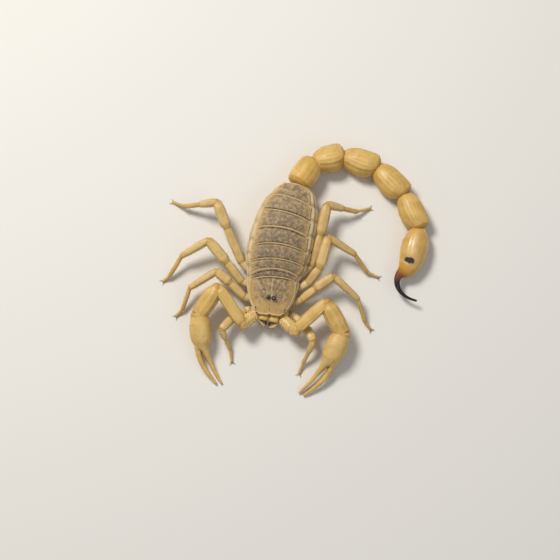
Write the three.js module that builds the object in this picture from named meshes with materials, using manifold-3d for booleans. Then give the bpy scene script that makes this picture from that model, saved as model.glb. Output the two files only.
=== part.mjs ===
// A desert scorpion at rest, life size, in millimetres: +Z is up, the head points toward -Y and the tail
// curls forward on the animal's left, which is +X. The feet and the tail stand on z = 0.
import * as THREE from "three";
import { mergeVertices } from "three/addons/utils/BufferGeometryUtils.js";
import Module from "manifold-3d";

const wasm = await Module();
wasm.setup();

// ---- driving sizes -------------------------------------------------------------------------------

const jointGap = 0.28; // left open between two pieces of the shell
const socketGap = 0.1; // left open round an eye

const carapaceLength = 9.5;
const tergiteLengths = [2.2, 2.9, 3.4, 4.1, 4.1, 3.6, 4.1];

// The trunk's middle line bows a little to the animal's right: [x, y] from the head backwards.
const trunkLine = [
  [0.15, 0], [-0.3, 4.2], [-0.95, 9.4], [-1.15, 14], [-1.15, 19], [-0.85, 24.5], [-0.45, 29], [-0.3, 34.2],
];

// Trunk sizes at distances from the front edge: half width, height of the widest line, roof and underside.
const trunkSizes = [
  { at: 0, half: 2.9, flank: 5.7, roof: 6.3, floor: 5.45 },
  { at: 0.3, half: 3.35, flank: 5.65, roof: 6.5, floor: 5.4 },
  { at: 1.6, half: 4.4, flank: 5.5, roof: 7.1, floor: 5.3 },
  { at: 3.6, half: 5.4, flank: 5.3, roof: 7.75, floor: 5.1 },
  { at: 6, half: 6.05, flank: 5.15, roof: 8.05, floor: 4.95 },
  { at: 8, half: 6.4, flank: 5.05, roof: 8.2, floor: 4.85 },
  { at: 9.5, half: 6.5, flank: 5, roof: 8.2, floor: 4.8 },
  { at: 12, half: 7.35, flank: 5, roof: 8.45, floor: 4.8 },
  { at: 14.6, half: 7.8, flank: 4.95, roof: 8.7, floor: 4.7 },
  { at: 15.2, half: 7.85, flank: 4.95, roof: 8.75, floor: 1.75 },
  { at: 17, half: 7.95, flank: 4.9, roof: 8.9, floor: 1.5 },
  { at: 21, half: 7.85, flank: 4.85, roof: 9, floor: 1.4 },
  { at: 25, half: 7.5, flank: 4.8, roof: 8.75, floor: 1.4 },
  { at: 28.5, half: 6.75, flank: 4.7, roof: 8.2, floor: 1.5 },
  { at: 31.5, half: 5.35, flank: 4.6, roof: 7.5, floor: 1.7 },
  { at: 33.9, half: 3.1, flank: 4.5, roof: 6.9, floor: 2 },
];
const trunkSides = 24;
const carapaceSteps = 8;
const tergiteSteps = 2;
const roofSquare = 2.25; // 2 is an ellipse, more is boxier
const bellySquare = 2.9;

const eye = { radius: 0.56, apart: 1.36, back: 3.85, height: 8.05 };
const tubercle = { wide: 1.25, long: 1.9, high: 0.8, height: 7.75 };

// Tail segments: length, heading in plan, roll of the back side toward the inside of the curl, fall of the
// far end, and the half sizes: `side` across, `back` and `belly` from the middle line at the segment's
// fullest. `root` widens the near end, where the first segment joins the trunk.
const tailStart = { x: -0.25, y: 34.1, z: 4.3 };
const tailSegments = [
  { length: 7, heading: 69, roll: 60, fall: 0.75, side: 2.9, back: 3.3, belly: 3.1, root: 1.4 },
  { length: 7.6, heading: 26, roll: 76, fall: 0.6, side: 2.9, back: 3.6, belly: 2.95, root: 1 },
  { length: 9.15, heading: -6, roll: 85, fall: 0.15, side: 2.95, back: 3.65, belly: 2.9, root: 1 },
  { length: 9.6, heading: -33, roll: 88, fall: 0, side: 2.95, back: 3.65, belly: 2.85, root: 1 },
  { length: 9.4, heading: -54, roll: 88, fall: 0, side: 2.85, back: 3.2, belly: 2.75, root: 1 },
];
// One segment from joint to joint: how full each side is, as shares of the sizes above.
const tailShape = [
  { at: 0, side: 0.68, back: 0.56, belly: 0.74 },
  { at: 0.08, side: 0.8, back: 0.7, belly: 0.86 },
  { at: 0.28, side: 0.94, back: 0.88, belly: 0.95 },
  { at: 0.52, side: 1, back: 1, belly: 1 },
  { at: 0.72, side: 0.99, back: 0.97, belly: 0.98 },
  { at: 0.88, side: 0.9, back: 0.78, belly: 0.94 },
  { at: 0.96, side: 0.8, back: 0.58, belly: 0.88 },
  { at: 1, side: 0.7, back: 0.44, belly: 0.76 },
];
const tailSides = 18;
const keelPlaces = [60, 120, 200, 240, 300, 340]; // degrees round the section, 90 is the back
const keelHeight = 0.06; // share of the radius
const trunkEndHeading = 86; // the way the trunk points where the tail leaves it

// Telson, seen from above: turn of the middle line at each step, and the half width there.
const telsonHeading = -92;
const telsonSteps = [
  { go: 0.5, turn: 0, half: 1.8 },
  { go: 0.9, turn: 0, half: 2.55 },
  { go: 1.6, turn: 0, half: 3.2 },
  { go: 2.2, turn: 0, half: 3.5 },
  { go: 2.2, turn: 0, half: 3.35 },
  { go: 1.9, turn: -6, half: 2.95 },
  { go: 1.5, turn: -10, half: 2.5 },
  { go: 1.2, turn: -13, half: 1.9 },
  { go: 1.1, turn: -8, half: 1.25 },
  { go: 1, turn: 18, half: 0.92 },
  { go: 1, turn: 20, half: 0.76 },
  { go: 1.1, turn: 18, half: 0.65 },
  { go: 1.2, turn: 18, half: 0.56 },
  { go: 1.2, turn: 16, half: 0.47 },
  { go: 1.3, turn: 14, half: 0.38 },
  { go: 1.3, turn: 12, half: 0.33 },
  { go: 1.2, turn: 8, half: 0.3 },
];
const telsonNeck = 1.35;
const telsonSides = 14;
const telsonHigh = 0.84; // height as a share of the width

// Legs: where the joints are, from the hip to the toe. The last joint stands on the floor.
const legJoints = {
  right: [
    [[-4.7, 0.9, 2.5], [-6.1, 0.1, 2.6], [-8.7, -2.5, 3.3], [-10.6, -6, 4.4],
      [-9.2, -7.8, 3], [-7.6, -9.8, 1.2], [-6.4, -12.8, 0.15]],
    [[-5.2, 3.4, 3.3], [-7.1, 3.4, 3.5], [-11.1, 5.8, 4.8], [-15, 7.8, 5.4],
      [-20.6, 2.5, 4], [-21.3, -2.6, 1.3], [-22.6, -4.7, 0.15]],
    [[-5.9, 6.7, 3.4], [-8.5, 7, 3.7], [-13.1, 10.6, 5.6], [-18.6, 14.7, 6.6],
      [-24.4, 9.8, 4.2], [-26.4, 4.7, 1.3], [-27.8, 3.2, 0.15]],
    [[-6.5, 9.9, 3.4], [-9.6, 11.8, 3.7], [-14.9, 18.9, 6.2], [-18.7, 24.5, 6.9],
      [-22.9, 23.5, 4.4], [-26.8, 22.7, 1.9], [-30.1, 23.4, 0.15]],
  ],
  left: [
    [[4.7, 1.8, 2.5], [6.3, 1.4, 2.6], [9.6, -0.6, 3.3], [12.1, -3.7, 4.4],
      [11.5, -6.7, 3], [10.8, -9.2, 1.2], [10.4, -12, 0.15]],
    [[4.9, 4.6, 3.3], [7.1, 5.9, 3.5], [9.8, 9, 5], [13.4, 12.8, 6.2],
      [20.6, 8.9, 4.1], [23.4, 4.3, 1.3], [25.4, 2.7, 0.15]],
    [[5.3, 8.3, 3.4], [7.8, 10.3, 3.9], [9.7, 14.2, 5.9], [10.1, 21.8, 7.2],
      [17.4, 19.7, 4.4], [21.2, 16.6, 1.3], [24.4, 16, 0.15]],
    [[5.2, 11.3, 3.3], [7.4, 14.6, 3.5], [8.1, 22.6, 4.7], [8, 30.1, 6],
      [12.1, 30.4, 4.2], [15.5, 30.9, 1.9], [18.7, 32.8, 0.15]],
  ],
};
// Half widths of a leg's pieces: across in plan, and upright.
const legSizes = [
  { trochanter: 0.85, femur: 0.88, patella: 1, tibia: 0.72, basitarsus: 0.5, tarsus: 0.34 },
  { trochanter: 0.9, femur: 0.95, patella: 1.15, tibia: 0.85, basitarsus: 0.54, tarsus: 0.36 },
  { trochanter: 0.92, femur: 1, patella: 1.22, tibia: 0.88, basitarsus: 0.56, tarsus: 0.36 },
  { trochanter: 0.92, femur: 1, patella: 1.22, tibia: 0.92, basitarsus: 0.62, tarsus: 0.38 },
];
const legUpright = 1.1; // a leg's pieces are this much taller than wide
const legSides = 8;
const coxaSides = 6;

// Arms with the pincers: joints from the hip to the finger tips.
const armJoints = {
  right: [[-3.4, -0.5, 4.1], [-4.5, -2.2, 4.6], [-6, -3.4, 5.3], [-13.7, 3.8, 7.4],
    [-16.7, -3.6, 5.2], [-14.4, -11.3, 3], [-8.3, -18.7, 0.6]],
  left: [[3.6, -0.1, 4.1], [5.3, -1.3, 4.6], [7.6, -1.7, 5.3], [13.1, 5.9, 7.4],
    [18.6, -0.4, 5.2], [17, -8.2, 3], [11.9, -16.8, 0.6]],
};
const armSizes = { trochanter: 1.35, femur: 1.62, patella: 2.3, hand: 2.85, finger: 0.92 };
const armSides = 10;
const armFlat = 0.88; // height of an arm's pieces as a share of their width
const fingerBow = 0.4; // both fingers bow away from the body
// How far each finger's line lies outwards of the middle line, at its base and at its tip.
const fingerPlaces = { fixed: [-0.95, -0.6], movable: [1.3, 0.64] };
const fingerStart = 0.75; // the movable finger starts this far beyond the hand's end
const palmLean = 7; // power of the curve on which the palm's middle moves over to the fixed finger

// Jaws: boxy from `back` to `front`, then a claw that turns in and down to its tip.
const chelicera = { half: 1.05, high: 0.82, height: 4.5, apart: 1.18, back: 1.9, front: -1.5 };
const cheliceraShares = [[0, 0.7], [0.15, 1], [0.75, 1], [1, 0.75], [1.5, 0.5], [2, 0.28]];
const cheliceraSides = 10;
const cheliceraTip = { apart: 0.53, front: -2.9, height: 3.8 };
// Combs: length, width of the shaft, thickness, teeth and their reach, turn back from square, and place.
const comb = { long: 5.4, wide: 1.5, thick: 0.6, teeth: 10, tooth: 0.75, turn: 24, back: 14.6, height: 0.8 };
const combRoot = 0.4; // the two combs overlap this much on the middle line
const combPlate = { front: 1, back: 1.2 };
const toothShares = [0.95, 0.75, 0.35, 0.15]; // corners of a tooth in its pitch
// Breastplate, from under the mouth to the combs: half width and roof at distances from the front edge.
const breastplate = [
  { at: -0.4, half: 1.75, roof: 3.35 },
  { at: 2.2, half: 2.5, roof: 3.35 },
  { at: 5, half: 2.9, roof: 4.6 },
  { at: 9, half: 2.9, roof: 4.6 },
  { at: 12, half: 2.6, roof: 4.6 },
  { at: 14.3, half: 1.6, roof: 4.6 },
];
const breastplateFloor = 1.5;
const breastplateFlank = 3.2;
const breastplateSides = 12;
const coxaHalf = 0.95;
const coxaShares = [[0, 0.6], [0.5, 1], [1, 0.85]];
const coxaRoot = { back: 0.6, height: 2.9 }; // a leg's hip piece starts on the middle line, this far forward
const armRoot = { back: 2, drop: 0.8 }; // an arm's hip piece runs beside the mouth, this far back and down

const amber = { color: 0xd6a545, roughness: 0.38 };
const pale = { color: 0xd9c68c, roughness: 0.45 };
const brown = { color: 0x96835a, roughness: 0.5 };
const dark = { color: 0x2a1710, roughness: 0.25 };
const black = { color: 0x0c0a09, roughness: 0.08 };

// ---- helpers -------------------------------------------------------------------------------------

const zAxis = new THREE.Vector3(0, 0, 1);
const vector = ([x, y, z]) => new THREE.Vector3(x, y, z);
const radians = THREE.MathUtils.degToRad;
const boxy = (share, square) => Math.sign(share) * Math.abs(share) ** (2 / square);

function mesh(name, geometry, finish) {
  const material = new THREE.MeshStandardMaterial({ ...finish, metalness: 0 });
  const piece = new THREE.Mesh(geometry, material);
  piece.name = name;
  return piece;
}

function toSolid(geometry) {
  const bare = geometry.clone();
  bare.deleteAttribute("normal");
  bare.deleteAttribute("uv");
  const closed = mergeVertices(bare, 1e-4);
  return new wasm.Manifold(new wasm.Mesh({
    numProp: 3,
    vertProperties: new Float32Array(closed.attributes.position.array),
    triVerts: new Uint32Array(closed.index.array),
  }));
}

function toGeometry(solid) {
  const { vertProperties, triVerts } = solid.getMesh();
  const geometry = new THREE.BufferGeometry();
  geometry.setAttribute("position", new THREE.BufferAttribute(vertProperties, 3));
  geometry.setIndex(new THREE.BufferAttribute(triVerts, 1));
  geometry.computeVertexNormals();
  return geometry;
}

const join = (geometries) => toGeometry(geometries.map(toSolid).reduce((all, next) => all.add(next)));

// The value of each size at a place in a list of stops, on a straight line from stop to stop.
function sizesAt(stops, place) {
  const next = Math.max(stops.findIndex(({ at }) => at > place), 1);
  const [a, b] = place < stops[stops.length - 1].at ? [stops[next - 1], stops[next]] : stops.slice(-2);
  const share = (place - a.at) / (b.at - a.at);
  return Object.fromEntries(Object.keys(a).map((key) => [key, THREE.MathUtils.lerp(a[key], b[key], share)]));
}

// A limb is a row of straight articles from joint to joint. Each article ends on the plane that halves the
// turn to the next one, so two articles meet face to face however sharply the limb bends.
function articlesOf(joints, { before, after, roofs = [], gaps = [jointGap / 2, jointGap / 2] }) {
  const ways = joints.slice(1).map((joint, i) => joint.clone().sub(joints[i]).normalize());
  const faceBetween = (a, b) => a.clone().add(b).normalize();
  return ways.map((way, i) => {
    const side = way.clone().cross(roofs[i] ?? zAxis).normalize();
    return {
      from: joints[i],
      length: joints[i].distanceTo(joints[i + 1]),
      way,
      side,
      up: side.clone().cross(way),
      near: faceBetween(ways[i - 1] ?? before ?? way, way),
      far: faceBetween(way, ways[i + 1] ?? after ?? way),
      nearGap: i === 0 ? gaps[0] : 0,
      farGap: i === ways.length - 1 ? gaps[1] : 0,
    };
  });
}

// The closed skin round a limb. A ring's `at` counts articles: 1.5 is the middle of the second one.
// `wide` reaches to both sides, `high` upwards and `low` downwards; nothing goes under the floor.
function skin(articles, rings, sides, { square = [2, 2], keels = () => 1 } = {}) {
  const shape = new THREE.CylinderGeometry(1, 1, 1, sides, rings.length - 1);
  const places = shape.attributes.position;
  const raw = new THREE.Vector3();
  for (let i = 0; i < places.count; i += 1) {
    raw.fromBufferAttribute(places, i);
    const ring = rings[Math.round((raw.y + 0.5) * (rings.length - 1))];
    const article = articles[Math.min(Math.floor(ring.at), articles.length - 1)];
    const share = ring.at - articles.indexOf(article);
    const angle = Math.atan2(raw.z, raw.x);
    const reach = Math.hypot(raw.x, raw.z) * keels(angle);
    const upper = raw.z > 0;
    const lift = (upper ? ring.high : ring.low) * boxy(Math.sin(angle), square[upper ? 0 : 1]);
    const offset = new THREE.Vector3()
      .addScaledVector(article.side, reach * ring.wide * boxy(Math.cos(angle), square[upper ? 0 : 1]))
      .addScaledVector(article.up, reach * lift);
    const first = (article.nearGap - offset.dot(article.near)) / article.way.dot(article.near);
    const rest = (article.farGap + offset.dot(article.far)) / article.way.dot(article.far);
    const along = THREE.MathUtils.lerp(first, article.length - rest, share);
    const point = article.from.clone().add(offset).addScaledVector(article.way, along);
    places.setXYZ(i, point.x, point.y, Math.max(point.z, 0));
  }
  shape.computeVertexNormals();
  return shape;
}

// Rings of one article from shares of its half width: [at, share] from joint to joint.
const ringsOf = (shares, half, tall = 1, start = 0) => shares.map(([at, share]) => ({
  at: start + at,
  wide: half * share,
  high: half * share * tall,
  low: half * share * tall,
}));

// ---- trunk ---------------------------------------------------------------------------------------

const trunkCurve = new THREE.CatmullRomCurve3(trunkLine.map(([x, y]) => new THREE.Vector3(x, y, 0)));
const trunkShare = (at) => THREE.MathUtils.clamp(at / trunkCurve.getLength(), 0, 1);
const trunkPoint = (at) => trunkCurve.getPointAt(trunkShare(at));
const trunkWay = (at) => trunkCurve.getTangentAt(trunkShare(at));

// A stretch of the trunk between two distances from the front edge.
function trunkPiece(from, to, steps, square) {
  const stops = Array.from({ length: steps + 1 }, (_, i) => THREE.MathUtils.lerp(from, to, i / steps));
  const sizes = stops.map((at) => sizesAt(trunkSizes, at));
  const joints = stops.map((at, i) => trunkPoint(at).setZ(sizes[i].flank));
  const level = (at) => trunkWay(at).setZ(0).normalize();
  const articles = articlesOf(joints, { before: level(from), after: level(to) });
  const rings = sizes.map(({ half, flank, roof, floor }, i) => ({
    at: i,
    wide: half,
    high: roof - flank,
    low: flank - floor,
  }));
  return skin(articles, rings, trunkSides, { square });
}

function ball(radius, middle, stretch = [1, 1, 1], sides = 10) {
  const shape = new THREE.SphereGeometry(radius, sides, Math.round(sides * 0.7));
  return shape.rotateX(Math.PI / 2).scale(...stretch).translate(...middle);
}

const eyePlace = (side, grow = 0) => {
  const middle = trunkPoint(eye.back);
  return ball(eye.radius + grow, [middle.x + side * eye.apart / 2, middle.y, eye.height]);
};

function carapace() {
  const plate = trunkPiece(0, carapaceLength, carapaceSteps, [roofSquare, 2]);
  const middle = trunkPoint(eye.back);
  const mound = ball(1, [middle.x, middle.y, tubercle.height], [tubercle.wide, tubercle.long, tubercle.high]);
  const sockets = [-1, 1].map((side) => toSolid(eyePlace(side, socketGap)));
  const whole = sockets.reduce((left, socket) => left.subtract(socket), toSolid(plate).add(toSolid(mound)));
  return toGeometry(whole);
}

// Where the hip piece of a leg or an arm leaves the breastplate, and its way outwards.
function hipRoot(joints, side) {
  const hip = vector(joints[0]);
  return joints === armJoints[side]
    ? hip.clone().add(new THREE.Vector3(0, armRoot.back, -armRoot.drop))
    : new THREE.Vector3(trunkPoint(hip.y).x, hip.y - coxaRoot.back, coxaRoot.height);
}

const hipWay = (joints, side) => vector(joints[0]).sub(hipRoot(joints, side)).normalize();

// The underside of the head part: breastplate and the hips of arms and legs, in one piece.
function prosomaBase() {
  const middle = breastplate.map(({ at }) => new THREE.Vector3(trunkPoint(at).x, at, breastplateFlank));
  const rings = breastplate.map(({ half, roof }, i) => ({
    at: i,
    wide: half,
    high: roof - breastplateFlank,
    low: breastplateFlank - breastplateFloor,
  }));
  const square = [bellySquare, bellySquare];
  const plate = skin(articlesOf(middle, { gaps: [0, 0] }), rings, breastplateSides, { square });
  const hips = [];
  for (const side of ["right", "left"]) {
    for (const joints of [...legJoints[side], armJoints[side]]) {
      const [hip, next] = joints.map(vector);
      const after = next.clone().sub(hip).normalize();
      const articles = articlesOf([hipRoot(joints, side), hip], { after, gaps: [0, jointGap / 2] });
      hips.push(skin(articles, ringsOf(coxaShares, coxaHalf), coxaSides));
    }
  }
  return join([plate, ...hips]);
}

function cheliceraPiece(side) {
  const { half, high, height, apart, back, front } = chelicera;
  const mouth = trunkPoint(0).x;
  const joint = (x, y, z) => new THREE.Vector3(mouth + side * x, y, z);
  const tip = joint(cheliceraTip.apart, cheliceraTip.front, cheliceraTip.height);
  const joints = [joint(apart, back, height), joint(apart, front, height), tip];
  const rings = ringsOf(cheliceraShares, half, high / half);
  const square = [bellySquare, bellySquare];
  return skin(articlesOf(joints, { gaps: [0, 0] }), rings, cheliceraSides, { square });
}

// Two toothed combs under the body on a small middle plate.
function pectines() {
  const { long, wide, thick, teeth, tooth, turn, back, height } = comb;
  const pitch = long / teeth;
  const outline = new THREE.Shape([new THREE.Vector2(-combRoot, 0), new THREE.Vector2(-combRoot, wide / 2)]);
  outline.quadraticCurveTo(long / 2, wide, long, wide / 6);
  for (let i = teeth - 1; i >= 0; i -= 1) {
    const [outer, outerTip, innerTip, inner] = toothShares.map((share) => (i + share) * pitch);
    outline.lineTo(outer, 0);
    outline.lineTo(outerTip, -tooth);
    outline.lineTo(innerTip, -tooth);
    outline.lineTo(inner, 0);
  }
  const options = { depth: thick, bevelEnabled: false, curveSegments: 6 };
  const left = new THREE.ExtrudeGeometry(outline, options).scale(1, -1, 1);
  const leftTurned = flip(left).rotateZ(radians(turn));
  const right = flip(leftTurned.clone().scale(-1, 1, 1));
  const plate = new THREE.CylinderGeometry(combPlate.front, combPlate.back, thick, 12);
  plate.rotateX(Math.PI / 2).translate(0, 0, thick / 2);
  const middle = trunkPoint(back);
  return join([leftTurned, right, plate]).translate(middle.x, back, height);
}

// Mirrored shapes need their faces turned round again.
function flip(geometry) {
  const bare = geometry.index ? geometry.toNonIndexed() : geometry;
  const places = bare.attributes.position;
  for (let i = 0; i < places.count; i += 3) {
    const [a, b] = [i + 1, i + 2].map((k) => new THREE.Vector3().fromBufferAttribute(places, k));
    places.setXYZ(i + 1, b.x, b.y, b.z);
    places.setXYZ(i + 2, a.x, a.y, a.z);
  }
  return bare;
}

// ---- tail ----------------------------------------------------------------------------------------

const planWay = (heading) => new THREE.Vector3(Math.cos(radians(heading)), Math.sin(radians(heading)), 0);

function tailJoints() {
  const joints = [vector([tailStart.x, tailStart.y, tailStart.z])];
  for (const { length, heading, fall } of tailSegments) {
    const last = joints[joints.length - 1];
    joints.push(last.clone().addScaledVector(planWay(heading), length).add(new THREE.Vector3(0, 0, -fall)));
  }
  return joints;
}

// Ridges along the segment at the keel places.
function keels(angle) {
  const turn = THREE.MathUtils.euclideanModulo(THREE.MathUtils.radToDeg(angle), 360);
  return keelPlaces.some((place) => Math.abs(turn - place) < 180 / tailSides) ? 1 + keelHeight : 1;
}

function tailPieces() {
  const joints = tailJoints();
  return tailSegments.map((segment, i) => {
    const heading = (k) => planWay(tailSegments[k]?.heading ?? (k < 0 ? trunkEndHeading : telsonHeading));
    const inside = planWay(segment.heading - 90);
    const roof = zAxis.clone().multiplyScalar(Math.cos(radians(segment.roll)))
      .addScaledVector(inside, Math.sin(radians(segment.roll)));
    const articles = articlesOf([joints[i], joints[i + 1]], {
      before: heading(i - 1),
      after: heading(i + 1),
      roofs: [roof],
    });
    const rootward = (at) => THREE.MathUtils.lerp(segment.root, 1, Math.min(2 * at, 1));
    const full = (share, at) => Math.min(1, share * rootward(at));
    const rings = tailShape.map(({ at, side, back, belly }) => ({
      at,
      wide: segment.side * full(side, at),
      high: segment.back * full(back, at),
      low: segment.belly * full(belly, at),
    }));
    const shape = skin(articles, rings, tailSides, { square: [2.1, 2.3], keels });
    return mesh(`metasoma_${i + 1}`, shape, amber);
  });
}

function telson() {
  const joints = [tailJoints().pop()];
  let heading = telsonHeading;
  for (const { go, turn } of telsonSteps) {
    heading += turn;
    joints.push(joints[joints.length - 1].clone().addScaledVector(planWay(heading), go));
  }
  const rings = [{ half: telsonNeck }, ...telsonSteps].map(({ half }, i) => ({
    at: i,
    wide: half,
    high: half * telsonHigh,
    low: half * telsonHigh,
  }));
  const before = planWay(tailSegments[tailSegments.length - 1].heading);
  return skin(articlesOf(joints, { before, gaps: [jointGap / 2, 0] }), rings, telsonSides);
}

// ---- limbs ---------------------------------------------------------------------------------------

const trochanterShares = [[0, 0.75], [0.3, 1], [0.75, 0.95], [1, 0.75]];
const femurShares = [[0.15, 0.95], [0.5, 1], [0.85, 0.9], [1, 0.7]];
const patellaShares = [[0, 0.7], [0.15, 0.94], [0.75, 0.94], [1, 0.68]];
const tibiaShares = [[0, 0.85], [0.2, 1], [0.8, 0.86], [1, 0.7]];
const basitarsusShares = [[0, 0.9], [0.3, 1], [1, 0.78]];
const trochanterKnob = [[0, 0.85], [0.5, 1], [1, 1.02], [1.5, 1.1], [1.9, 0.98]];
const armFemurShares = [[0.06, 0.86], [0.15, 0.95], [0.5, 1], [0.88, 0.92], [0.96, 0.78], [1, 0.5]];
const armPatellaShares = [[0, 0.4], [0.07, 0.66], [0.22, 0.9], [0.55, 1], [0.85, 0.93], [1, 0.66]];
const palmShares = [[0, 0.52], [0.16, 0.86], [0.3, 0.97], [0.45, 1], [0.62, 0.97], [0.8, 0.84], [0.93, 0.66]];
const fingerShares = [1.05, 1, 0.88, 0.74, 0.56, 0.32];
const tarsusShares = [[0.25, 1], [0.75, 0.88], [1, 0.76]];

function legPieces(side, number) {
  const joints = legJoints[side][number - 1].map(vector);
  const half = legSizes[number - 1];
  const name = (piece) => `leg_${side}_${number}_${piece}`;
  const way = (i) => joints[i + 1].clone().sub(joints[i]).normalize();
  const rings = (shares, piece, start) => ringsOf(shares, half[piece], legUpright, start);
  const piece = (from, to, allRings, before, after, gaps) => skin(
    articlesOf(joints.slice(from, to + 1), { before, after, gaps }),
    allRings,
    legSides,
  );
  const thigh = [...rings(trochanterShares, "trochanter", 0), ...rings(femurShares, "femur", 1)];
  const foot = [...rings(basitarsusShares, "basitarsus", 0), ...rings(tarsusShares, "tarsus", 1)];
  return [
    mesh(name("femur"), piece(0, 2, thigh, hipWay(legJoints[side][number - 1], side), way(2)), pale),
    mesh(name("patella"), piece(2, 3, rings(patellaShares, "patella", 0), way(1), way(3)), pale),
    mesh(name("tibia"), piece(3, 4, rings(tibiaShares, "tibia", 0), way(2), way(4)), pale),
    mesh(name("tarsus"), piece(4, 6, foot, way(3), undefined, [jointGap / 2, 0]), pale),
  ];
}

// A finger's line from the hand's end to its tip, `places` outwards of the straight line at either end.
function fingerLine(base, tip, outward, places, steps) {
  const points = [];
  for (let i = 0; i <= steps; i += 1) {
    const share = i / steps;
    const off = fingerBow * Math.sin(Math.PI * share) + THREE.MathUtils.lerp(...places, share);
    points.push(base.clone().lerp(tip, share).addScaledVector(outward, off));
  }
  return points;
}

function armPieces(side) {
  const joints = armJoints[side].map(vector);
  const name = (piece) => `pedipalp_${side}_${piece}`;
  const way = (i) => joints[i + 1].clone().sub(joints[i]).normalize();
  const { trochanter, femur, patella, hand, finger } = armSizes;
  const thigh = [...ringsOf(trochanterKnob, trochanter), ...ringsOf(armFemurShares, femur, armFlat, 2)];
  const knee = ringsOf(armPatellaShares, patella, armFlat);
  const [wrist, base, tip] = joints.slice(4);
  const outward = way(4).cross(zAxis).setZ(0).normalize().multiplyScalar(side === "right" ? 1 : -1);
  const palm = palmShares.map(([share]) => (
    wrist.clone().lerp(base, share).addScaledVector(outward, fingerPlaces.fixed[0] * share ** palmLean)));
  const steps = fingerShares.length - 1;
  const fingers = Object.fromEntries(Object.entries(fingerPlaces).map(([kind, places]) => (
    [kind, fingerLine(base, tip, outward, places, steps)])));
  fingers.movable[0].addScaledVector(way(4), fingerStart);
  const fingerRings = (start) => ringsOf(fingerShares.map((share, i) => [i, share]), finger, armFlat, start);
  const palmRings = ringsOf(palmShares.map(([, share], i) => [i, share]), hand, armFlat);
  const fixed = articlesOf([...palm, ...fingers.fixed], { before: way(3), gaps: [jointGap / 2, 0] });
  const movable = articlesOf(fingers.movable, { gaps: [0, 0] });
  const upper = articlesOf(joints.slice(0, 4), { before: hipWay(armJoints[side], side), after: way(3) });
  const shank = articlesOf(joints.slice(3, 5), { before: way(2), after: way(4) });
  return [
    mesh(name("femur"), skin(upper, thigh, armSides), amber),
    mesh(name("patella"), skin(shank, knee, armSides), amber),
    mesh(name("hand"), skin(fixed, [...palmRings, ...fingerRings(palmShares.length)], armSides), amber),
    mesh(name("finger"), skin(movable, fingerRings(0), armSides), amber),
  ];
}

// ---- the whole animal ----------------------------------------------------------------------------

const animal = new THREE.Group();
animal.add(mesh("carapace", carapace(), brown));
animal.add(mesh("prosoma_base", prosomaBase(), pale));
let place = carapaceLength;
tergiteLengths.forEach((length, i) => {
  const square = [roofSquare, i < 2 ? 2 : bellySquare];
  animal.add(mesh(`mesosoma_${i + 1}`, trunkPiece(place, place + length, tergiteSteps, square), brown));
  place += length;
});
animal.add(mesh("pectines", pectines(), pale));
animal.add(...tailPieces());
animal.add(mesh("telson", telson(), amber));
for (const [sign, side] of [[-1, "right"], [1, "left"]]) {
  animal.add(mesh(`eye_${side}`, eyePlace(sign), black));
  animal.add(mesh(`chelicera_${side}`, cheliceraPiece(sign), dark));
  animal.add(...armPieces(side));
  for (const number of [1, 2, 3, 4]) {
    animal.add(...legPieces(side, number));
  }
}

const box = new THREE.Box3().setFromObject(animal, true);
animal.position.set(-(box.min.x + box.max.x) / 2, -(box.min.y + box.max.y) / 2, 0);

export default animal;
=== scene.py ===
import math
import bpy
import numpy as np
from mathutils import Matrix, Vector


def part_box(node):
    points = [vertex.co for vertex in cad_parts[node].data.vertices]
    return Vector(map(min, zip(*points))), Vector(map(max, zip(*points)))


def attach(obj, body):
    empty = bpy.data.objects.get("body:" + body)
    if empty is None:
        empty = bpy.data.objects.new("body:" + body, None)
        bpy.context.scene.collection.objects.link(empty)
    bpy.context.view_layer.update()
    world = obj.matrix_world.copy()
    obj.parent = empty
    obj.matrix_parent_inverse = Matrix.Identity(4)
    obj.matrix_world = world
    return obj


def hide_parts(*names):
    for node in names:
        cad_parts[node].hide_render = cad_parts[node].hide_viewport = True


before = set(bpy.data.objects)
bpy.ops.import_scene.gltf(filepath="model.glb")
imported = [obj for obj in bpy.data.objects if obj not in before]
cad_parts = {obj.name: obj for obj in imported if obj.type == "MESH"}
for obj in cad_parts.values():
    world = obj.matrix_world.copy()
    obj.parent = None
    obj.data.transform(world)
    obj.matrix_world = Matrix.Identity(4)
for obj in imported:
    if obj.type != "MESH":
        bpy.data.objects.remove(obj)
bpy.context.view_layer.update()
mm = 0.001
zUp = np.array([0.0, 0.0, 1.0])
dice = np.random.default_rng(11)


def unit(v):
    v = np.asarray(v, float)
    return v / np.maximum(np.linalg.norm(v, axis=-1, keepdims=True), 1e-12)


def ease(x):  # from 0 to 1 without corners
    x = np.clip(x, 0, 1)
    return x * x * (3 - 2 * x)


def hump(x, middle, width):
    return np.exp(-(((x - middle) / width) ** 2))


def ramp(x, low, high):  # 0 below low, 1 above high
    return ease((x - low) / (high - low))


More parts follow.
